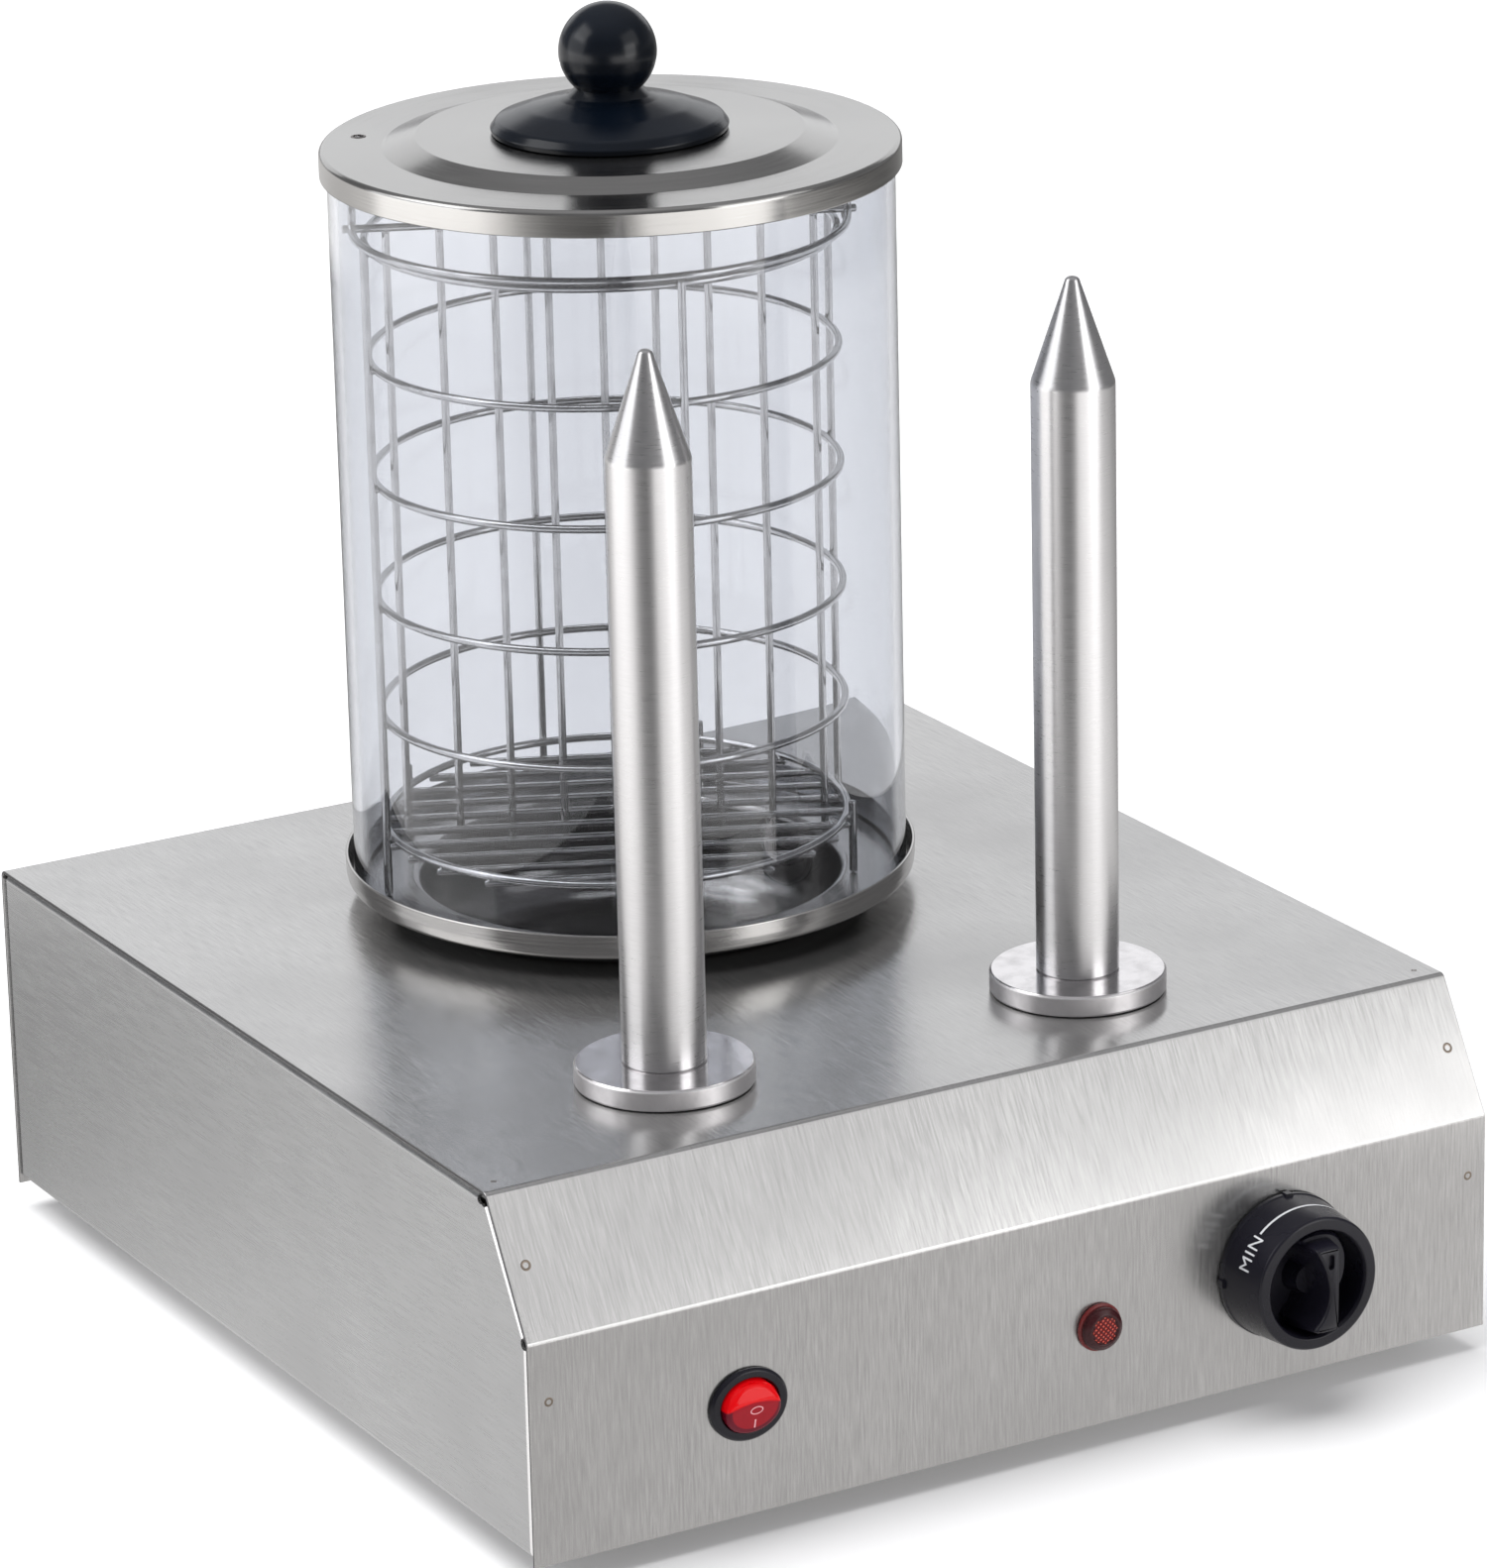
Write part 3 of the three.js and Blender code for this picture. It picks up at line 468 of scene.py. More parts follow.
def skin(bm, rings, closed=False):
    """Faces between neighbouring rings of equal counts."""
    for one, two in zip(rings, rings[1:] + (rings[:1] if closed else [])):
        for i in range(len(one)):
            nxt = (i + 1) % len(one)
            bm.faces.new((one[i], one[nxt], two[nxt], two[i]))


def close_ends(bm, rings):
    bm.faces.new(rings[0][::-1])
    bm.faces.new(rings[-1])


def loft(bm, outlines, place):
    """A closed body through outlines with equal counts: (list of (a, b), height), moved by a matrix."""
    rings = [[bm.verts.new((a, b, height)) for a, b in outline] for outline, height in outlines]
    close_ends(bm, rings)
    skin(bm, rings)
    bmesh.ops.transform(bm, verts=[v for ring in rings for v in ring], matrix=place)


def circle(radius, z, segments=120):
    angles = [2 * math.pi * k / segments for k in range(segments)]
    return [(radius * math.cos(a), radius * math.sin(a), z) for a in angles]


def lathe(bm, profile, centre=(0, 0, 0), segments=128, forward=False):
    """Turns (radius, height) round an upright axis, or round one that points forward (-Y)."""
    rings = []
    for radius, height in profile:
        if radius < 1e-6:
            rings.append([bm.verts.new((0, 0, height))])
            continue
        rings.append([bm.verts.new(spot) for spot in circle(radius, height, segments)])
    closed = len(rings[0]) > 1 and len(rings[-1]) > 1
    for one, two in zip(rings, rings[1:] + (rings[:1] if closed else [])):
        for k in range(segments):
            corners = [ring[i % len(ring)] for ring, i in ((one, k), (one, k + 1), (two, k + 1), (two, k))]
            corners = list(dict.fromkeys(corners))
            if len(corners) > 2:
                bm.faces.new(corners)
    moved = [v for ring in rings for v in ring]
    lay = Matrix.Rotation(math.radians(90), 4, "X") if forward else Matrix.Identity(4)
    bmesh.ops.transform(bm, verts=moved, matrix=Matrix.Translation(centre) @ lay)
    return moved


def spun(name, profile, centre, segments, material, body, nodes=(), sharp=32):
    bm = bmesh.new()
    lathe(bm, profile, centre, segments)
    return piece(name, bm, material, body, nodes, Vector(centre), sharp)


def wire(bm, points, radius, sides=10, closed=False):
    """A round wire along a list of points."""
    points = [Vector(p) for p in points]
    count = len(points)
    tangents = []
    for i in range(count):
        before = points[i - 1] if (i or closed) else points[i]
        after = points[(i + 1) % count] if (closed or i + 1 < count) else points[i]
        tangents.append((after - before).normalized())
    side = tangents[0].orthogonal().normalized()
    rings = []
    for i, (point, tangent) in enumerate(zip(points, tangents)):
        if i:
            side.rotate(tangents[i - 1].rotation_difference(tangent))
            side = (side - tangent * side.dot(tangent)).normalized()
        across = tangent.cross(side)
        steps = [(0, 1.0)]
        if not closed and i == 0:
            steps = [(-0.45, 0.55), (-0.25, 0.85), (0, 1.0)]
        if not closed and i == count - 1:
            steps = [(0, 1.0), (0.25, 0.85), (0.45, 0.55)]
        for along, share in steps:
            middle = point + tangent * along * radius
            spokes = [side * x + across * y for x, y, z in circle(radius * share, 0, sides)]
            rings.append([bm.verts.new(middle + spoke) for spoke in spokes])
    skin(bm, rings, closed)
    if not closed:
        close_ends(bm, rings)


def blob(bm, centre, size, turn=0.0):
    """A weld nugget: a squashed, slightly lumpy ball."""
    made = bmesh.ops.create_icosphere(bm, subdivisions=2, radius=1.0)["verts"]
    for v in made:
        v.co *= 1 + 0.07 * math.sin(7 * v.co.x + 5 * v.co.y + centre[0]) * math.cos(6 * v.co.z + centre[2])
    place = Matrix.Translation(centre) @ Matrix.Rotation(turn, 4, "Z") @ Matrix.Diagonal((*size, 1))
    bmesh.ops.transform(bm, verts=made, matrix=place)


def slab(bm, outline, low, high, place):
    """A closed outline (a, b) pushed from low to high along the third axis of a matrix."""
    loft(bm, [(outline, low), (outline, high)], place)


# For slab() and loft(): Y-Z outlines pushed along X, and X-Z outlines pushed to the front.
ALONG_X = Matrix(((0, 0, 1, 0), (1, 0, 0, 0), (0, 1, 0, 0), (0, 0, 0, 1)))
TO_FRONT = Matrix(((1, 0, 0, 0), (0, 0, -1, 0), (0, 1, 0, 0), (0, 0, 0, 1)))


def settle_shape(obj):
    """Applies a piece's modifiers."""
    bpy.context.view_layer.update()
    evaluated = obj.evaluated_get(bpy.context.evaluated_depsgraph_get())
    obj.data = bpy.data.meshes.new_from_object(evaluated)
    obj.modifiers.clear()


def cut(obj, cutters):
    """Subtracts closed meshes from a piece that has no modifiers yet."""
    bm = bmesh.new()
    for build in cutters:
        build(bm)
    bmesh.ops.recalc_face_normals(bm, faces=bm.faces)
    own = (obj.matrix_world.translation - ZERO) / MM
    bm.transform(Matrix.Scale(MM, 4) @ Matrix.Translation(-own))
    tool = show(bpy.data.objects.new("cutter", mesh_of(bm, "cutter")))
    tool.matrix_world = obj.matrix_world
    modifier = obj.modifiers.new("cut", "BOOLEAN")
    modifier.object = tool
    modifier.solver = "EXACT"
    modifier.use_self = True
    settle_shape(obj)
    bpy.data.objects.remove(tool)
    smooth_shaded(obj.data, 32)


def round_cutter(centre, radius, half, axis, segments=48, stretch=1.0):
    """A short cylinder for cut(), centred on a point, along X, Y or Z, and wider along X if stretched."""
    quarter = math.pi / 2
    turns = {"X": Matrix.Rotation(quarter, 4, "Y"), "Y": Matrix.Rotation(quarter, 4, "X"), "Z": Matrix()}

    def build(bm):
        made = lathe(bm, [(0, -half), (radius, -half), (radius, half), (0, half)], (0, 0, 0), segments)
        wide = Matrix.Diagonal((stretch, 1, 1, 1))
        bmesh.ops.transform(bm, verts=made, matrix=Matrix.Translation(centre) @ wide @ turns[axis])

    return build


# ---- housing

KNOB = centre_of("thermostat_knob")
LAMP = centre_of("lamp_lens")
SWITCH = centre_of("switch_housing") + Vector((0.9, 0, -0.85))
GLAND = centre_of("cable_gland")
FRONT = -SLOPE_RUN
SLOPE_FOOT = HEIGHT - SLOPE_DROP
BEND = 2.6


def side_outline(inset, bottom, radius, dip=0.0):
    """The housing's side view, set in from its faces. dip lowers the corner where top and slope meet."""
    slope = Vector((-SLOPE_RUN, -SLOPE_DROP)).normalized()
    upper = math.tan(math.acos(-slope.x) / 2)
    lower = math.tan(math.acos(-slope.y) / 2)
    return [
        (TOP_DEPTH - inset, bottom),
        (TOP_DEPTH - inset, HEIGHT - inset, radius),
        (inset * upper + dip * 0.45, HEIGHT - inset - dip, radius),
        (FRONT + inset, SLOPE_FOOT - inset * lower, radius),
        (FRONT + inset, bottom),
    ]


def shell():
    outer = rounded(side_outline(0, 0, BEND), 8, closed=False)
    inner = rounded(side_outline(SHEET, 0, BEND - SHEET), 8, closed=False)
    bm = bmesh.new()
    slab(bm, outer + inner[::-1], -WIDTH / 2, WIDTH / 2, ALONG_X)
    grain = lambda co: (co.x, co.y + co.z)
    obj = piece("housing_wrap", bm, shell_steel, "base", ["housing_shell"], grain=grain)
    spikes = [centre_of("spike_left"), centre_of("spike_right")]
    cut(obj, [
        round_cutter((AXIS.x, AXIS.y, HEIGHT), 70.5, 6, "Z", 96),
        *[round_cutter((s.x, s.y, HEIGHT), 8.5, 6, "Z") for s in spikes],
        round_cutter((KNOB.x, FRONT, KNOB.z), 5.4, 6, "Y"),
        round_cutter((LAMP.x, FRONT, LAMP.z), 6.2, 6, "Y"),
        round_cutter((SWITCH.x, FRONT, SWITCH.z), 10.2, 6, "Y", 64, OVAL),
        round_cutter((GLAND.x, TOP_DEPTH, GLAND.z), 8.3, 6, "Y"),
    ])
    round_edges(obj, 0.22)


def side_tray(name, side):
    """A folded tray: flat side, a rounded fold all round and an inward flange."""
    face = WIDTH / 2 - 0.3
    fold = 2.3
    reach = 14
    rings = []
    steps = 6
    for k in range(steps + 1):
        angle = math.radians(90 * k / steps)
        inset = SHEET + 0.3 + fold * (1 - math.sin(angle))
        rings.append((inset, face - fold * (1 - math.cos(angle))))
    rings.append((SHEET + 0.3, face - reach))
    bm = bmesh.new()
    loops = []
    for inset, x in rings:
        outline = side_outline(inset, 2.2 + inset - SHEET - 0.3, 0.6, dip=0.7)
        outline[0] = (*outline[0], 0.6)
        outline[-1] = (*outline[-1], 0.6)
        loops.append([bm.verts.new((side * x, y, z)) for y, z in rounded(outline, 3)])
    bm.faces.new(loops[0])
    skin(bm, loops)
    grain = lambda co: (co.z - abs(co.x), co.y)
    node = "side_panel_left" if side < 0 else "side_panel_right"
    obj = piece(name, bm, side_steel, "base", [node], sharp=40, grain=grain)
    solid = obj.modifiers.new("sheet", "SOLIDIFY")
    solid.thickness = SHEET * MM
    solid.offset = -1
    solid.use_even_offset = True
    settle_shape(obj)
    # Relief notches where neighbouring flanges meet.
    notch = lambda y, z, r: round_cutter((side * face, y, z), r, 18, "X", 24)
    cut(obj, [
        notch(2.0, HEIGHT - 3.0, 2.0),
        notch(4.2, HEIGHT - 2.9, 1.9),
        notch(FRONT + 2.5, SLOPE_FOOT - 0.4, 2.0),
        notch(TOP_DEPTH - 1.6, HEIGHT - 1.8, 1.7),
    ])


def weld_mark(name, x, y, z, normal, radius=1.5):
    """A shallow ring left by a spot weld."""
    bm = bmesh.new()
    shares = [(0, -0.03), (0.55, -0.02), (0.8, 0.07), (1, 0.05), (1.25, -0.05), (0, -0.2)]
    made = lathe(bm, [(radius * share, height) for share, height in shares], (0, 0, 0), 32)
    turn = Vector((0, 0, 1)).rotation_difference(Vector(normal)).to_matrix().to_4x4()
    bmesh.ops.transform(bm, verts=made, matrix=Matrix.Translation((x, y, z)) @ turn)
    piece(name, bm, weld_steel, "base", origin=Vector((x, y, z)))


def housing():
    shell()
    side_tray("side_tray_left", -1)
    side_tray("side_tray_right", 1)
    slope = Vector((0, -SLOPE_DROP, SLOPE_RUN)).normalized()
    for tag, side in (("left", -1), ("right", 1)):
        x = side * 163.5
        weld_mark(f"weld_slope_{tag}", x, FRONT * 0.5, HEIGHT - SLOPE_DROP * 0.5, slope)
        weld_mark(f"weld_front_{tag}", x, FRONT, 52, (0, -1, 0), 1.3)
        weld_mark(f"weld_top_{tag}", x, 7, HEIGHT, (0, 0, 1), 0.8)
        weld_mark(f"weld_back_{tag}", x, TOP_DEPTH, 56, (0, 1, 0))


def foot(number):
    node = f"foot_{number}"
    low, high, middle = low_of(node), high_of(node), centre_of(node)
    profile = rounded([
        (2.4, high.z, 0.2), (2.4, high.z - 4, 0.2), (6, high.z - 4, 0.3), (6, low.z, 0.6), (11.6, low.z, 1.6),
        (13, low.z + 2.4, 1.2), (11.2, high.z - 2, 0.8), (11.2, high.z, 0.3),
    ], 4)
    bm = bmesh.new()
    lathe(bm, profile, (middle.x, middle.y, 0), 48)
    piece(f"rubber_foot_{number}", bm, black_rubber, "base", [node], origin=middle)


def gland():
    bm = bmesh.new()
    start = high_of("cable_gland").y
    profile = rounded([
        (4.3, -22), (8, -22), (8, -11.6), (10.2, -11.6, 0.5), (10.6, -6, 0.4), (9.4, -5.4, 0.3),
        (9.4, -2.2, 2.2), (6.8, 0, 0.6), (4.3, 0, 0.6),
    ], 5)
    lathe(bm, [(r, -h) for r, h in profile], (0, 0, 0), 64, forward=True)
    for k in range(16):
        rib = Matrix.Rotation(math.radians(22.5 * k), 4, "Y") @ Matrix.Translation((0, 0, 9.5))
        slab(bm, [(-0.6, -0.3), (0.6, -0.3), (0.35, 0.6), (-0.35, 0.6)], 2.4, 5.2, rib @ TO_FRONT)
    bmesh.ops.transform(bm, verts=bm.verts, matrix=Matrix.Translation((GLAND.x, start, GLAND.z)))
    hexagon = rounded([(*p, 0.6) for p in arc(0, 0, 12, 0, 300, 5)], 2)
    slab(bm, hexagon, 0, 5.4, Matrix.Translation((GLAND.x, TOP_DEPTH + 5.7, GLAND.z)) @ TO_FRONT)
    origin = Vector((GLAND.x, start, GLAND.z))
    piece("gland_body", bm, black_satin, "base", ["cable_gland"], origin=origin, bevel=0.2)


# ---- pan, glass and lid

PAN_RADIUS = (high_of("steam_pan").x - low_of("steam_pan").x) / 2
PAN_TOP = high_of("steam_pan").z
PAN_FLANGE = PAN_TOP - 7.6
WELL_FLOOR = low_of("steam_pan").z + SHEET
WELL_RADIUS = 68.0


def pan():
    inside = PAN_RADIUS - SHEET
    profile = rounded([
        (0, WELL_FLOOR - SHEET), (WELL_RADIUS + SHEET, WELL_FLOOR - SHEET, 17),
        (WELL_RADIUS + SHEET, PAN_FLANGE - SHEET, 2), (PAN_RADIUS - 0.5, PAN_FLANGE - SHEET, 2.4),
        (PAN_RADIUS, PAN_FLANGE + 3.2, 3), (PAN_RADIUS, PAN_TOP, 0.45), (inside, PAN_TOP, 0.45),
        (inside, PAN_FLANGE + 3.2, 3), (inside - 0.5, PAN_FLANGE, 1.6), (WELL_RADIUS, PAN_FLANGE, 3),
        (WELL_RADIUS, WELL_FLOOR, 16), (0, WELL_FLOOR),
    ], 8, closed=False)
    spun("water_pan", profile, AXIS, 180, pan_steel, "base", ["steam_pan"])

    low, high = low_of("pan_gasket"), high_of("pan_gasket")
    profile = rounded([(71.5, low.z, 0.8), (77, low.z, 1.2), (77, high.z, 1.2), (71.5, high.z, 0.8)], 4)
    spun("pan_seal", profile, AXIS, 96, black_rubber, "base", ["pan_gasket"])


def glass():
    low, high = low_of("glass_cylinder"), high_of("glass_cylinder")
    outside = (high.x - low.x) / 2
    profile = rounded([
        (outside - 3, low.z, 1.3), (outside, low.z, 1.3), (outside, high.z, 1.3), (outside - 3, high.z, 1.3),
    ], 6)
    spun("glass_tube", profile, AXIS, 192, glass_clear, "glass", ["glass_cylinder"], sharp=60)


def lid():
    low, high = low_of("lid"), high_of("lid")
    radius = (high.x - low.x) / 2
    plateau = high.z
    flat = plateau - 3.3
    inside = radius - SHEET
    profile = rounded([
        (2.6, plateau - SHEET), (61.7, plateau - SHEET, 3), (72.3, flat - SHEET, 3),
        (inside, flat - SHEET, 0.8), (inside, low.z, 0.4), (radius, low.z, 0.4), (radius, flat, 1.7),
        (72.3, flat, 2.2), (61.7, plateau, 2.2), (2.6, plateau),
    ], 8)
    obj = spun("lid_sheet", profile, AXIS, 180, lid_steel, "lid", ["lid"])
    vent_reach, vent_turn = 81, math.radians(142)
    vent = AXIS + Vector((vent_reach * math.cos(vent_turn), vent_reach * math.sin(vent_turn), flat))
    cut(obj, [round_cutter(vent, 1.7, 5, "Z", 32)])
    rim = rounded([(1.7, -0.2), (2.5, -0.2), (2.5, 0.1, 0.1), (1.7, 0.25, 0.1)], 3)
    spun("lid_vent_rim", rim, vent, 32, tinted_steel, "lid")

    base = low_of("lid_knob").z
    radius = 15.6
    ball_z = high_of("lid_knob").z - radius
    ball = arc(0, ball_z, radius, -47, 90, 30)
    seam = [(r, z) for r, z in ball if z < ball_z - 2.9]
    after = [(r, z) for r, z in ball if z >= ball_z - 2.9]
    groove = [(seam[-1][0] + 0.10, ball_z - 2.9), (after[0][0] - 0.05, ball_z - 2.55)]
    skirt = rounded([
        (2.2, base + 8), (2.2, base), (37.4, base, 0.3), (37.9, base + 1.6, 0.8), (36.0, base + 4.2, 2.6),
        (26, base + 7.8, 20), (16, base + 10.3, 6), (13.2, base + 11.3, 2.0), (11.7, base + 12.6, 0.6),
    ], 7, closed=False)
    profile = [(0, base + 8)] + skirt + seam + groove + after[:-1] + [(0, ball_z + radius)]
    spun("lid_handle", profile, AXIS, 128, black_gloss, "lid", ["lid_knob"])


# ---- bun spikes


def spike(side):
    middle = centre_of(f"spike_{side}").xy.to_3d()
    tip = high_of(f"spike_{side}").z
    low = low_of(f"spike_{side}").z
    seat = low_of(f"spike_collar_{side}").z
    top = high_of(f"spike_collar_{side}").z
    shoulder = tip - 33
    body = rounded([
        (5.2, shoulder - 20), (5.2, low), (8, low, 0.5), (8, top + 0.05), (12.6, top + 0.05),
        (13, top + 0.6, 0.3), (13, shoulder, 5), (2.9, tip - 3.2, 0.4), (2.0, tip - 0.5, 1.6), (0, tip),
    ], 6, closed=False)
    profile = [(0, shoulder - 18)] + body
    nodes = [f"spike_{side}"]
    spun(f"bun_spike_{side}", profile, middle, 96, spike_aluminium, "base", nodes, sharp=24)
    profile = rounded([
        (8.3, seat), (27.3, seat, 0.3), (27.7, seat + 0.7, 0.3), (27.7, top - 0.8, 0.35), (27.0, top, 0.3),
        (8.3, top, 0.2),
    ], 4)
    nodes = [f"spike_collar_{side}"]
    spun(f"bun_disc_{side}", profile, middle, 128, disc_steel, "base", nodes)


# ---- basket

WIRE = 1.3
RING = 75.0
TURN = math.radians(-25)
BAR = high_of("basket_divider").z - WIRE


def upright(points):
    return [Vector(p) + BASKET for p in points]


def turned(points):
    """Points given square to the divider, turned and moved to the basket's place."""
    return [Matrix.Rotation(TURN, 3, "Z") @ Vector(p) + BASKET for p in points]


def wire_piece(name, bm, body, nodes):
    piece(name, bm, wire_steel, body, nodes, origin=BASKET, sharp=60)


def basket():
    heights = [centre_of(f"basket_ring_{i}").z for i in range(1, 6)]
    floor_ring = high_of("basket_floor").z - WIRE
    bm = bmesh.new()
    for z in heights:
        wire(bm, upright(circle(RING, z)), WIRE, 12, closed=True)
    uprights = [f"basket_upright_{i}" for i in range(1, 5)]
    legs = [f"basket_leg_{i}" for i in range(1, 4)]
    for node in uprights + legs:
        low, high, middle = low_of(node), high_of(node), centre_of(node)
        arm = (middle - BASKET).xy.to_3d()
        inward = arm.normalized()
        x, y = (BASKET + inward * (RING + 2 * WIRE - 0.15)).xy
        points = [(x, y, low.z + 0.5), (x, y, (low.z + high.z) / 2), (x, y, high.z - 0.5)]
        wire(bm, points, WIRE, 12)
        turn = math.atan2(inward.y, inward.x)
        for z in heights + [floor_ring]:
            if low.z < z < high.z:
                contact = BASKET + inward * (RING + WIRE)
                blob(bm, (contact.x, contact.y, z), (0.75, 1.25, 1.25), turn)
    nodes = [f"basket_ring_{i}" for i in range(1, 6)] + uprights + legs
    wire_piece("basket_wall", bm, "basket", nodes)

    bm = bmesh.new()
    wire(bm, upright(circle(RING, floor_ring)), WIRE, 12, closed=True)
    z = floor_ring - 2 * WIRE + 0.25
    for i in range(-5, 5):
        y = (i + 0.5) * 13.5
        half = math.sqrt(RING**2 - y**2) + 1.2
        wire(bm, turned([(-half, y, z), (0, y, z), (half, y, z)]), WIRE, 10)
        for end in (-1, 1):
            joint = turned([(end * (half - 1.2), y, floor_ring - WIRE)])[0]
            blob(bm, joint, (1.2, 1.2, 0.6))
    wire_piece("basket_base", bm, "basket", ["basket_floor"])

    foot_z = low_of("basket_divider").z
    reach = 81.6
    bm = bmesh.new()
    wire(bm, turned([(-reach, 0, BAR), (0, 0, BAR), (reach, 0, BAR)]), WIRE, 12)
    for i in range(-4, 5):
        x = i * 17
        wire(bm, turned([(x, 0, foot_z + 0.5), (x, 0, (foot_z + BAR) / 2), (x, 0, BAR)]), WIRE, 12)
        blob(bm, turned([(x, 0, BAR - WIRE * 0.9)])[0], (1.6, 1.5, 1.0), TURN)
    wire_piece("basket_fence", bm, "basket", ["basket_divider"])

    # The folding handle: a half-round with a tall hook at each end that hangs on the bar.
    reach = 78.6
    hook = [(0.9, -3.1), (3.1, -1.6), (3.6, 1.5), (3, 8), (0, 11), (-3, 8), (-3.9, 2.4), (-5.8, 0.3)]
    near, far = ([(side * reach, y, BAR + z) for y, z in smooth(hook, 5)] for side in (1, -1))
    bow = [(reach * math.cos(math.radians(-a)), reach * math.sin(math.radians(-a)), BAR)
           for a in [7 + 166 * k / 60 for k in range(61)]]
    bm = bmesh.new()
    wire(bm, turned(near + bow + far[::-1]), WIRE, 12)
    wire_piece("basket_bail", bm, "handle", ["basket_handle"])


# ---- thermostat knob

DIAL = Vector((KNOB.x, high_of("thermostat_knob").y, KNOB.z))


def dial_piece(name, bm, material, nodes=()):
    return piece(name, bm, material, "thermostat_shaft", nodes, DIAL)


def knob():
    proud = 5.6
    depth = DIAL.y - low_of("thermostat_knob").y - proud
    rear, front, dish = 23.5, 21.5, 17.2
    profile = rounded([
        (0, depth - 6.6), (3.3, depth - 6.6), (3.3, 6), (9, 6), (9, 0), (rear, 0, 0.4), (rear, 1.6, 0.3),
        (rear - 0.35, 2.0, 0.3), (front, depth - 0.2, 1.1), (dish + 0.7, depth, 0.6),
        (dish, depth - 1.0, 0.3), (dish - 0.5, depth - 11.4, 1.6), (6, depth - 11.6), (4.6, depth - 5.6),
        (0, depth - 5.6),
    ], 5, closed=False)
    bm = bmesh.new()
    lathe(bm, profile, DIAL, 128, forward=True)
    for turn in (2, -92):
        angle = math.radians(turn)
        spoke = Matrix.Translation(DIAL) @ Matrix.Rotation(angle, 4, "Y")
        tab = spoke @ Matrix.Translation((0, 0, rear - 0.4)) @ TO_FRONT
        outline = rounded([(-1.5, -0.4), (1.5, -0.4), (1.3, 0.9, 0.4), (-1.3, 0.9, 0.4)], 3)
        slab(bm, outline, 0.2, 2.6, tab)
    dial_piece("thermostat_dial", bm, black_satin, ["thermostat_knob"])

    # Grip across the dish: scooped on one side, wider towards its foot, with a shoulder and a slot.
    outline = smooth([
        (-3.7, 12.2), (-1.6, 8), (0, 3.9), (0.9, -2.5), (-1.2, -9), (-4.5, -13.4), (3.2, -13.9), (3.9, -12),
        (4.1, -4), (4.2, 4), (4.2, 12), (3.2, 13.4), (-2.8, 13.5),
    ], 5, closed=True)
    forward = Matrix.Translation(DIAL) @ TO_FRONT
    limit = dish - 0.8
    bm = bmesh.new()
    steps = [(-11.5, 2.7), (-5, 1.5)]
    steps += [(proud - 1.6, 0.15), (proud - 0.7, -0.1), (proud - 0.2, -0.45), (proud, -0.95)]
    loft(bm, [(grown(outline, out, limit), depth + height) for height, out in steps], forward)
    grip = dial_piece("thermostat_grip", bm, black_satin)

    def slot_cutter(bm):
        slot = arc(0.9, 10.4, 1.1, 0, 180, 10) + arc(0.9, 7.6, 1.1, 180, 360, 10)
        slab(bm, slot, depth + proud - 1.3, depth + proud + 2, forward)

    cut(grip, [slot_cutter])
    shoulder = smooth([
        (0, 9), (2, 0), (5, -6), (9.4, -1.5), (10.8, 4), (10.2, 9.5), (7, 14.4), (1, 16.2), (-5.5, 15),
    ], 4, closed=True)
    steps = [(-11.4, 1.6), (-2.4, 0.3), (-1.4, -0.5)]
    bm = bmesh.new()
    loft(bm, [(grown(shoulder, out, limit), depth + height) for height, out in steps], forward)
    dial_piece("thermostat_shoulder", bm, black_satin)

    # Printed marks on the skirt: an arc and a minimum mark.
    def skirt(turn, distance):
        share = distance / depth
        radius = rear + (front - rear) * share + 0.03
        return Vector((radius * math.sin(turn), -distance, radius * math.cos(turn)))

    bm = bmesh.new()
    count = 48
    first, last = math.radians(-42), math.radians(38)
    rows = []
    for k in range(count + 1):
        turn = first + (last - first) * k / count
        wide = 0.42 * min(1.0, 0.25 + 2.2 * (count - k) / count)
        rows.append([bm.verts.new(skirt(turn, 10.2 + side * wide)) for side in (-1, 1)])
    for one, two in zip(rows, rows[1:]):
        bm.faces.new((one[0], one[1], two[1], two[0]))
    bmesh.ops.solidify(bm, geom=bm.faces, thickness=0.12)
    bm.transform(Matrix.Translation(DIAL))
    dial_piece("dial_arc", bm, print_grey)

    text = bpy.data.curves.new("minimum", "FONT")
    text.body = "MIN"
    text.size = 6.5
    text.offset = -0.012
    text.extrude = 0.08
    text.space_character = 1.08
    source = show(bpy.data.objects.new("minimum", text))
    bpy.context.view_layer.update()
    bm = bmesh.new()
    flat = bpy.data.meshes.new_from_object(source.evaluated_get(bpy.context.evaluated_depsgraph_get()))
    bm.from_mesh(flat)
    bpy.data.objects.remove(source)
    bmesh.ops.subdivide_edges(bm, edges=[e for e in bm.edges if e.calc_length() > 1.2], cuts=2)
    for v in bm.verts:
        across, up, out = v.co
        turn = math.radians(-75) + across / 22.5
        spot = skirt(turn, 8.4 + (4.6 - up))
        v.co = DIAL + spot + Vector((math.sin(turn), 0, math.cos(turn))) * out
    dial_piece("dial_minimum", bm, print_grey)


# ---- lamp and switch


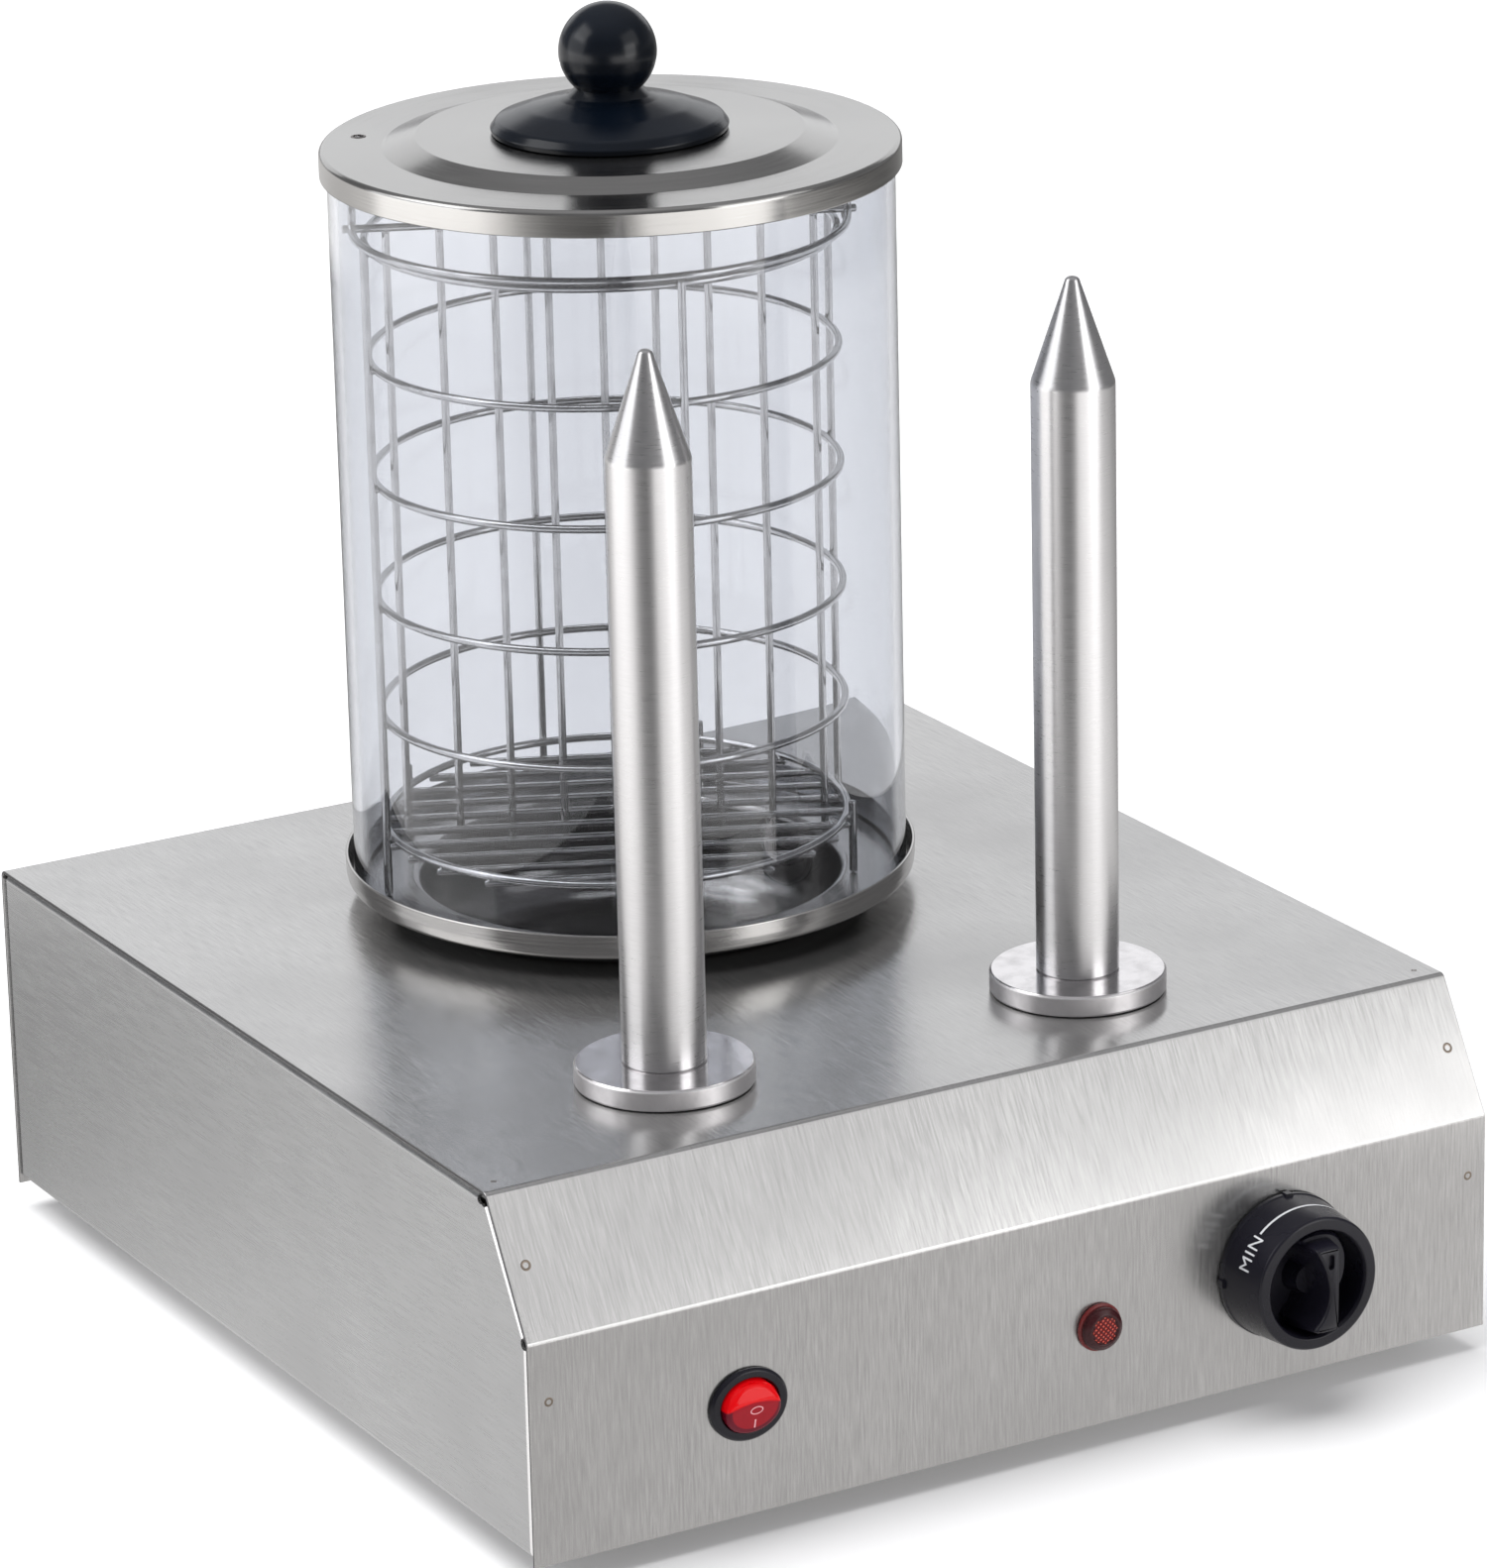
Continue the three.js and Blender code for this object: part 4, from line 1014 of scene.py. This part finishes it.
def lamp():
    back = high_of("lamp_lens").y
    origin = Vector((LAMP.x, back, LAMP.z))
    bm = bmesh.new()
    profile = rounded([
        (0, 0.4), (7.7, 0, 0.2), (7.7, 0.8, 0.4), (6.95, 1.0, 0.2), (6.85, 2.9, 1.1), (4.7, 4.3, 0.7),
        (4.35, 3.6, 0.2), (0, 3.6),
    ], 5, closed=False)
    lathe(bm, profile, origin, 80, forward=True)
    piece("lamp_rim", bm, red_rim, "base", ["lamp_lens"], origin=origin)

    # Lens face: small pyramids inside the rim.
    bm = bmesh.new()
    pitch = DIAMOND
    radius = 4.4
    steps = int(radius / pitch) + 1
    grid = {}

    def corner(a, b, height):
        key = (round(a, 4), round(b, 4))
        if key not in grid:
            length = math.hypot(a, b)
            share = min(1.0, radius / length) if length else 1.0
            turned_a, turned_b = (a - b) * 0.7071 * share, (a + b) * 0.7071 * share
            dome = 0.5 * (1 - (min(length, radius) / radius) ** 2)
            grid[key] = bm.verts.new((turned_a, -(3.5 + dome + height * (share >= 1)), turned_b))
        return grid[key]

    apart = lambda one, two: (one.co - two.co).length > 1e-3
    for i in range(-steps, steps):
        for j in range(-steps, steps):
            a, b = i * pitch, j * pitch
            corners = [(a, b), (a + pitch, b), (a + pitch, b + pitch), (a, b + pitch)]
            if all(math.hypot(*c) > radius for c in corners):
                continue
            peak = corner(a + pitch / 2, b + pitch / 2, 0.45)
            ring = [corner(*c, 0.0) for c in corners]
            for one, two in zip(ring, ring[1:] + ring[:1]):
                if apart(one, two) and apart(one, peak) and apart(two, peak):
                    bm.faces.new((one, two, peak))
    rim = [e for e in bm.edges if e.is_boundary]
    made = bmesh.ops.extrude_edge_only(bm, edges=rim)["geom"]
    for v in made:
        if isinstance(v, bmesh.types.BMVert):
            v.co.y = -2.8
    bmesh.ops.holes_fill(bm, edges=[e for e in bm.edges if e.is_boundary], sides=0)
    bm.transform(Matrix.Translation(origin))
    piece("lamp_face", bm, red_dots, "base", origin=origin, sharp=10)


def switch():
    back = FRONT - 0.3
    origin = Vector((SWITCH.x, back, SWITCH.z))
    bore = 8.55
    bm = bmesh.new()
    profile = rounded([
        (0, -21.7), (9.9, -21.7), (9.9, 0), (11.5, 0, 0.2), (11.5, 0.7, 0.4), (10.8, 1.6, 0.9),
        (bore + 0.2, 1.75, 0.35), (bore, 1.0, 0.2), (bore, -9.6), (0, -9.6),
    ], 6, closed=False)
    made = lathe(bm, profile, (0, 0, 0), 96, forward=True)
    bmesh.ops.transform(bm, verts=made, matrix=Matrix.Diagonal((OVAL, 1, 1, 1)))
    bm.transform(Matrix.Translation(origin))
    for k in (-1, 0, 1):
        blade = Matrix.Translation(origin + Vector((0, 21.7, 5 * k))) @ TO_FRONT
        slab(bm, [(-2.4, -0.4), (2.4, -0.4), (2.4, 0.4), (-2.4, 0.4)], -9, 1, blade)
    nodes = ["switch_housing"]
    piece("switch_bezel", bm, black_satin, "base", nodes, origin=origin, bevel=0.08)

    # Rocker: a long marked face and a shorter sloping end that meet in a curved ridge above the middle.
    radius = 8.2
    tilt = Matrix.Rotation(math.radians(14), 4, "X")
    middle = Vector((SWITCH.x, FRONT - SHEET, SWITCH.z))
    place = Matrix.Translation(middle) @ tilt @ Matrix.Diagonal((OVAL, 1, 1, 1))

    def out(x, z):
        face = 3.95 + 0.01 * (z - 3)
        end = 3.95 + 0.66 * (3 - math.hypot(0.366 * x, max(z, 0)))
        return -math.log(math.exp(-6 * face) + math.exp(-6 * end)) / 6

    segments = 96
    bm = bmesh.new()
    rings = []
    body = [(0.55, -7.3), (0.75, -5.9), (0.94, -3), (1.0, 0.2)]
    cap = [(1.0, 1.1), (0.988, 0.7), (0.96, 0.35), (0.925, 0.12), (0.885, 0.02), (0.85, 0),
           *[(share, 0) for share in (0.75, 0.65, 0.5, 0.35, 0.2, 0.08)]]
    for i, (share, height) in enumerate(body + cap):
        ring = []
        for k in range(segments):
            angle = 2 * math.pi * k / segments
            drawn_in = 1 - 0.07 * max(0, math.sin(angle + 0.3)) * (i >= len(body))
            x, z = radius * share * math.cos(angle) * drawn_in, radius * share * math.sin(angle) * drawn_in
            ring.append(bm.verts.new((x, -height if i < len(body) else height - out(x, z), z)))
        rings.append(ring)
    skin(bm, rings)
    bm.faces.new(rings[0])
    bm.faces.new(rings[-1])
    bm.transform(place)
    piece("rocker_cap", bm, red_lit, "rocker", ["switch_rocker"], origin=middle, sharp=40)

    bm = bmesh.new()
    mark = lambda x, z: Vector((x, -out(x, z) + 0.05, z))
    turns = [math.radians(10 * k) for k in range(36)]
    wire(bm, [mark(0.4 + 1.75 * math.cos(a), 0.4 + 1.25 * math.sin(a)) for a in turns], 0.18, 8, closed=True)
    wire(bm, [mark(0.35, -3.0), mark(0.35, -4.4), mark(0.35, -5.8)], 0.24, 8)
    bm.transform(place)
    piece("rocker_marks", bm, print_pink, "rocker", origin=middle, sharp=60)


# ---- CAD pieces that stay, with better finishes

KEPT = {
    base_steel: ["base_plate"],
    fixing_steel: ["lid_screw", "element_clamp", "clamp_nut", "thermostat_nut", "spike_nut_left",
                   "spike_nut_right", *[f"foot_screw_{i}" for i in range(1, 5)]],
    tinted_steel: ["heating_element", "spike_heater_left", "spike_heater_right"],
    plain_aluminium: ["heat_spreader"],
    plain_brass: ["thermostat_spindle", "thermostat_bulb"],
    off_white: ["thermostat_body", "terminal_block", "thermal_cutout", "lamp_body"],
    black_satin: ["gland_nut"],
}


def finish_kept():
    for material, names in KEPT.items():
        for name in names:
            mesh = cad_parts[name].data
            mesh.materials.clear()
            mesh.materials.append(material)


housing()
for number in range(1, 5):
    foot(number)
gland()
pan()
glass()
lid()
spike("left")
spike("right")
basket()
knob()
lamp()
switch()
finish_kept()
settle_normals()


# ---- floor, light and camera


def fill_ramp(ramp, stops, tint):
    """stops: (position, grey)."""
    elements = ramp.color_ramp.elements
    while len(elements) < len(stops):
        elements.new(0.5)
    for element, (position, grey) in zip(elements, stops):
        element.position = position
        element.color = (*[grey * part for part in tint], 1)


def wide_plane(name, material, z):
    bm = bmesh.new()
    bmesh.ops.create_grid(bm, x_segments=24, y_segments=24, size=9.0)
    mesh = mesh_of(bm, name)
    mesh.materials.append(material)
    obj = show(bpy.data.objects.new(name, mesh))
    obj.location.z = z
    return obj


def floor():
    finish = Finish("studio_floor", (0.86, 0.86, 0.865), 0.6)
    cloud = finish.noise((3, 3, 3), 3.0)
    finish.feed({"Base Color": finish.mix(cloud, (0.85, 0.85, 0.855), (0.88, 0.88, 0.885))})
    finish.bump([(finish.noise((60, 60, 60), 3.0), 0.05)])
    obj = wide_plane("studio_floor", finish.material, -0.0002)
    obj.visible_glossy = False


# Grey seen in polished sides, by turn in degrees from the camera's side: right is positive.
NEAR_GREYS = [
    (-180, 0.35), (-118, 0.42), (-92, 0.75), (-60, 0.93), (-14, 0.95), (0, 0.74), (30, 0.78), (55, 0.84),
    (75, 1.0), (110, 0.8), (180, 0.35),
]
MIDDLE_GREYS = [
    (-180, 0.12), (-150, 0.22), (-122, 0.8), (-95, 1.4), (-64, 1.47), (-46, 1.24), (-31, 0.7), (-19, 0.3),
    (-3, 0.22), (8, 0.38), (20, 1.1), (36, 1.42), (56, 1.45), (78, 1.31), (100, 1.0), (122, 0.6), (160, 0.25),
    (180, 0.15),
]
FAR_GREYS = [
    (-180, 0.5), (-147, 0.9), (-122, 1.0), (-106, 1.2), (-98, 2.5), (-52, 2.5), (-44, 1.9), (-33, 0.64),
    (-22, 0.25), (-2, 0.13), (7, 0.7), (14, 2.2), (60, 2.5), (67, 1.0), (76, 0.3), (90, 0.18), (114, 0.12),
    (135, 0.15), (180, 0.4),
]
# Metres from the glass's axis over which one list passes into the next.
NEAR_TO_MIDDLE = (0.46, 0.56)
MIDDLE_TO_FAR = (1.28, 1.36)
# Points the card's zero at the camera.
CARD_TURN = -119.4


def ground_card():
    """A grey-patterned ground that only shiny surfaces see, as black and white cards do round a product."""
    finish = Finish("ground_card", (0, 0, 0), 1.0, **{"Specular IOR Level": 0.0, "Emission Strength": 1.0})
    parts = finish.parts(finish.polar())
    turn = finish.spread(parts["Y"], 0.0, 1.0, -math.pi, math.pi)
    tones = []
    for greys in (NEAR_GREYS, MIDDLE_GREYS, FAR_GREYS):
        ramp = finish.node("ShaderNodeValToRGB", {"Fac": turn})
        fill_ramp(ramp, [(degrees / 360 + 0.5, grey) for degrees, grey in greys], (1, 0.985, 0.975))
        tones.append(ramp.outputs["Color"])
    tone = finish.mix(finish.spread(parts["X"], 0.0, 1.0, *NEAR_TO_MIDDLE), tones[0], tones[1])
    tone = finish.mix(finish.spread(parts["X"], 0.0, 1.0, *MIDDLE_TO_FAR), tone, tones[2])
    finish.feed({"Emission Color": tone})
    finish.material.cycles.emission_sampling = "NONE"
    obj = wide_plane("ground_card", finish.material, 0)
    obj.location = (ZERO + AXIS * MM).xy.to_3d() - Vector((0, 0, 0.0002))
    obj.rotation_euler.z = math.radians(CARD_TURN)
    for ray in ("camera", "diffuse", "transmission", "shadow"):
        setattr(obj, f"visible_{ray}", False)


def softbox(name, place, target, width, height, power, color=(1, 1, 1)):
    light = bpy.data.lights.new(name, "AREA")
    light.shape = "RECTANGLE"
    light.size = width
    light.size_y = height
    light.energy = power
    light.color = color
    obj = show(bpy.data.objects.new(name, light))
    obj.location = place
    obj.rotation_euler = (Vector(target) - Vector(place)).to_track_quat("-Z", "Y").to_euler()


def studio():
    world = bpy.data.worlds.new("studio")
    bpy.context.scene.world = world
    world.use_nodes = True
    tree = world.node_tree
    place = tree.nodes.new("ShaderNodeTexCoord").outputs["Generated"]
    parts = tree.nodes.new("ShaderNodeSeparateXYZ")
    ramp = tree.nodes.new("ShaderNodeValToRGB")
    tree.links.new(place, parts.inputs[0])
    tree.links.new(parts.outputs["Z"], ramp.inputs["Fac"])
    tree.links.new(ramp.outputs["Color"], tree.nodes["Background"].inputs["Color"])
    fill_ramp(ramp, [(0.0, 0.30), (0.15, 0.22), (0.5, 0.20), (1.0, 0.5)], (1, 1, 1.03))
    sky = bpy.data.lights.new("sky", "SUN")
    sky.energy = 3.0
    sky.angle = math.radians(55)
    lamp_object = show(bpy.data.objects.new("sky", sky))
    lamp_object.rotation_euler = (math.radians(-8), math.radians(-10), 0)
    lamp_object.visible_glossy = False
    target = (0, 0, 0.15)
    softbox("back_card", (1.5, 2.9, 1.25), target, 5.0, 1.4, 19, (0.975, 0.985, 1.0))
    softbox("front_right", (1.1, -1.5, 1.35), target, 1.5, 1.2, 5.3)
    softbox("left", (-2.2, 0.9, 0.9), target, 2.2, 1.6, 14, (0.97, 0.98, 1.0))
    softbox("upper_left", (-1.6, 0.6, 1.65), target, 1.3, 1.1, 11)
    softbox("front_low", (0.98, -1.88, 0.62), target, 1.1, 1.0, 8.5)


def camera():
    yaw, pitch, roll = (math.radians(a) for a in (29.408, 18.637, 1.342))
    turn = Matrix.Rotation(-yaw, 4, "Z") @ Matrix.Rotation(math.pi / 2 - pitch, 4, "X")
    place = ZERO + Vector((-1071.6, -1758.7, 901.4)) * MM
    data = bpy.data.cameras.new("camera")
    data.sensor_fit = "VERTICAL"
    data.sensor_height = 36
    data.lens = 167.1
    data.clip_end = 60
    obj = show(bpy.data.objects.new("camera", data))
    obj.matrix_world = Matrix.Translation(place) @ turn @ Matrix.Rotation(-roll, 4, "Z")
    bpy.context.scene.camera = obj


floor()
ground_card()
studio()
camera()
bpy.context.scene.view_settings.view_transform = "Standard"

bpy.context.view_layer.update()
